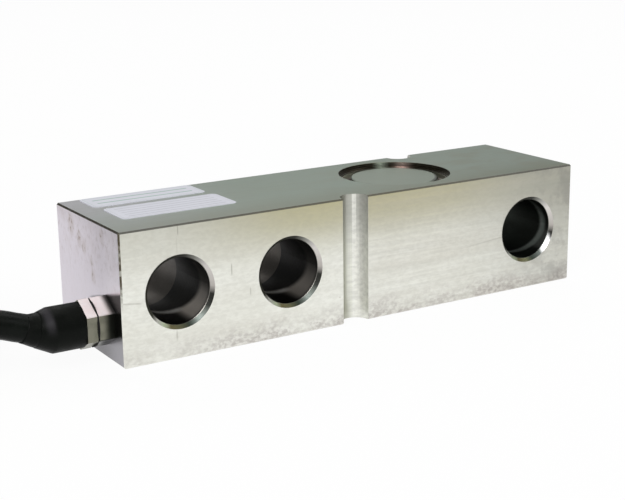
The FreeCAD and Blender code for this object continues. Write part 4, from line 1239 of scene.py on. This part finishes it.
def make_rubber(name, dark, worn, roughness, grain, sheen_span=None):
    """Black rubber: `grain` is the size of its texture; the last argument is a stretch of X with a painted
    highlight in grey on its upper side.
    """
    material, tree, shader = new_material(name)
    shader.inputs["Specular IOR Level"].default_value = RUBBER_GLOSS
    here = position(tree)
    tone = stain(here, 0.006, 0.45)
    colour = blend(times(tone, 0.6), dark, worn)
    # Painted highlight: the upper side of that stretch, the boot's shoulder, is lighter grey.
    if sheen_span:
        nz = normal_parts(tree, "Normal")[2]
        painted_sheen = times(between(split(here)[0], *sheen_span, 0.0009), ramp(nz, -0.15, 0.65))
        colour = blend(painted_sheen, colour, PAINTED_SHEEN_GREY)
    pores = noise(here, 1.0 / grain, 4.0, 0.6)
    gloss = spread(tone, roughness - 0.05, roughness + 0.08)
    set_finish(shader, colour, gloss, bump(pores, 0.16, 0.0002))
    return material


dress(make_gland_metal(), "gland_body", "gland_locknut")
BOOT_RUBBER = make_rubber(
    "boot_rubber", (0.0035, 0.0043, 0.0035), (0.0065, 0.0075, 0.0062), 0.42, 0.0007, BOOT_SHEEN_SPAN
)
dress(BOOT_RUBBER, "cable_boot")
boot_lip.data.materials.append(BOOT_RUBBER)
SEAL_RUBBER = make_rubber("seal_rubber", (0.010, 0.010, 0.010), (0.020, 0.020, 0.020), 0.55, 0.0005)
dress(SEAL_RUBBER, "gland_washer", "gland_seal")
CABLE_JACKET = make_rubber("cable_jacket", (0.0035, 0.0046, 0.0036), (0.0065, 0.0080, 0.0066), 0.34, 0.0009)
cable.data.materials.append(CABLE_JACKET)
dress(CABLE_JACKET, "cable", "cable_hank", "cable_end")
print("gland, boot and cable dressed")

# %% [markdown]
# ## Labels
#
# Two white foil labels lie on the top face.  They carry no words: a real one would, so thin ruled
# lines, as on a blank form, keep the place from looking empty.  The lines could be an image; as
# masks on the label's own box they stay sharp and follow its size.

# %% Label materials
LABEL_BORDER, BORDER_LINE, RULED_WIDTH, RULED_INSET = 0.0009, 0.00014, 0.0019, 0.003
FOIL, FOIL_SHADE = (0.72, 0.725, 0.80), (0.66, 0.66, 0.72)


def border_mask(x, y, low, high):
    """A thin line along the label's edge."""
    left, right = low.x + LABEL_BORDER, high.x - LABEL_BORDER
    front, back = low.y + LABEL_BORDER, high.y - LABEL_BORDER
    across = strongest(stroke(x, left, BORDER_LINE), stroke(x, right, BORDER_LINE))
    along = strongest(stroke(y, front, BORDER_LINE), stroke(y, back, BORDER_LINE))
    in_x, in_y = between(x, left, right, 0.00005), between(y, front, back, 0.00005)
    return strongest(times(across, in_y), times(along, in_x))


def make_label(node, line_colour, rows):
    """White foil with a thin border and a few ruled lines."""
    low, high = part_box(node)
    material, tree, shader = new_material(node + "_foil")
    shader.inputs["Coat Weight"].default_value = 0.15
    here = position(tree)
    x, y, _ = split(here)
    pitch = (high.y - low.y) / (rows + 1)
    ruled = 0.0
    for row in range(1, rows + 1):
        line = stroke(y, low.y + pitch * row, RULED_WIDTH / (rows + 1))
        ruled = calc("ADD", ruled, line, clamp=True)
    ruled = times(ruled, between(x, low.x + RULED_INSET, high.x - RULED_INSET, 0.0001))
    ink = times(strongest(ruled, times(border_mask(x, y, low, high), 0.6)), 0.6)
    tone = stain(here, 0.005, 0.4)
    paper = blend(times(tone, 0.25), FOIL, FOIL_SHADE)
    creases = bump(noise(here, 900.0), 0.04, 0.0001)
    set_finish(shader, blend(ink, paper, line_colour), spread(tone, 0.38, 0.5), creases)
    return material


LABELS = [("back_label", (0.10, 0.34, 0.18), 2), ("front_label", (0.33, 0.33, 0.37), 5)]
for node, line_colour, rows in LABELS:
    dress(make_label(node, line_colour, rows), node)
    print(node, "has", rows, "ruled lines")

# %% [markdown]
# ## Stripped cable end and the inside of the cell
#
# The cable ends in a shrink sleeve, four coloured cores with tinned tips and a bare drain wire.
# Inside the cell lie the strain gauges, their board and their wires, which only show when the part
# is taken apart.  Flat colours would look like toys, so all get a simple but real finish: plastic
# that changes tone a little, and drawn metal with fine marks.

# %% Plastics, foil and wire
def make_plastic(name, colour, shade, roughness=0.35, size=0.002):
    """Coloured plastic with a slight change of tone."""
    material, tree, shader = new_material(name)
    here = position(tree)
    tone = stain(here, size, 0.5)
    mottled = blend(times(tone, 0.7), colour, shade)
    grain = bump(noise(here, 1500.0), 0.06, 0.0001)
    set_finish(shader, mottled, spread(tone, roughness, roughness + 0.12), grain)
    return material


def make_wire_metal(name, colour, shade):
    """Drawn metal with fine marks."""
    material, tree, shader = new_material(name, metallic=1.0)
    marks = tool_marks(position(tree), 0.003, 0.0001)
    drawn = blend(marks, colour, shade)
    set_finish(shader, drawn, spread(marks, 0.2, 0.36), bump(marks, 0.1, 0.00005))
    return material


INSULATION = {  # colour and shade
    "red": ((0.55, 0.025, 0.02), (0.42, 0.02, 0.018)),
    "black": ((0.012, 0.012, 0.012), (0.022, 0.022, 0.022)),
    "green": ((0.02, 0.26, 0.06), (0.015, 0.19, 0.045)),
    "white": ((0.80, 0.80, 0.76), (0.70, 0.70, 0.66)),
}
WIRES = [  # finish, colour, shade and nodes
    ("tinned_copper", (0.74, 0.72, 0.68), (0.55, 0.53, 0.50), ("core_tips", "drain_wire")),
    ("enamelled_copper", (0.62, 0.27, 0.12), (0.48, 0.18, 0.07), ("lower_gauge_leads", "upper_gauge_leads")),
]
GAUGES = ("upper_strain_gauge", "lower_strain_gauge")
PLASTICS = [  # finish, colour, shade, roughness, size of its patches and nodes
    ("shrink_sleeve", (0.012, 0.012, 0.013), (0.022, 0.022, 0.024), 0.42, 0.004, ("end_sleeve",)),
    ("gauge_film", (0.52, 0.27, 0.06), (0.40, 0.18, 0.04), 0.2, 0.002, GAUGES),
    ("board_mask", (0.02, 0.16, 0.05), (0.015, 0.11, 0.035), 0.3, 0.002, ("bridge_board",)),
    ("foam_pad", (0.78, 0.78, 0.72), (0.68, 0.68, 0.62), 0.8, 0.002, ("board_pad",)),
    ("resistor_lacquer", (0.22, 0.40, 0.50), (0.16, 0.30, 0.40), 0.25, 0.002, ("bridge_resistors",)),
    ("tie_nylon", (0.014, 0.014, 0.014), (0.026, 0.026, 0.026), 0.4, 0.003, ("front_tie", "back_tie")),
]
for core, (colour, shade) in INSULATION.items():
    dress(make_plastic(core + "_insulation", colour, shade), "tail_" + core, "core_" + core)
for name, colour, shade, nodes in WIRES:
    dress(make_wire_metal(name, colour, shade), *nodes)
for name, colour, shade, roughness, size, nodes in PLASTICS:
    dress(make_plastic(name, colour, shade, roughness, size), *nodes)
print(len(INSULATION) + len(WIRES) + len(PLASTICS), "finishes on the small parts")
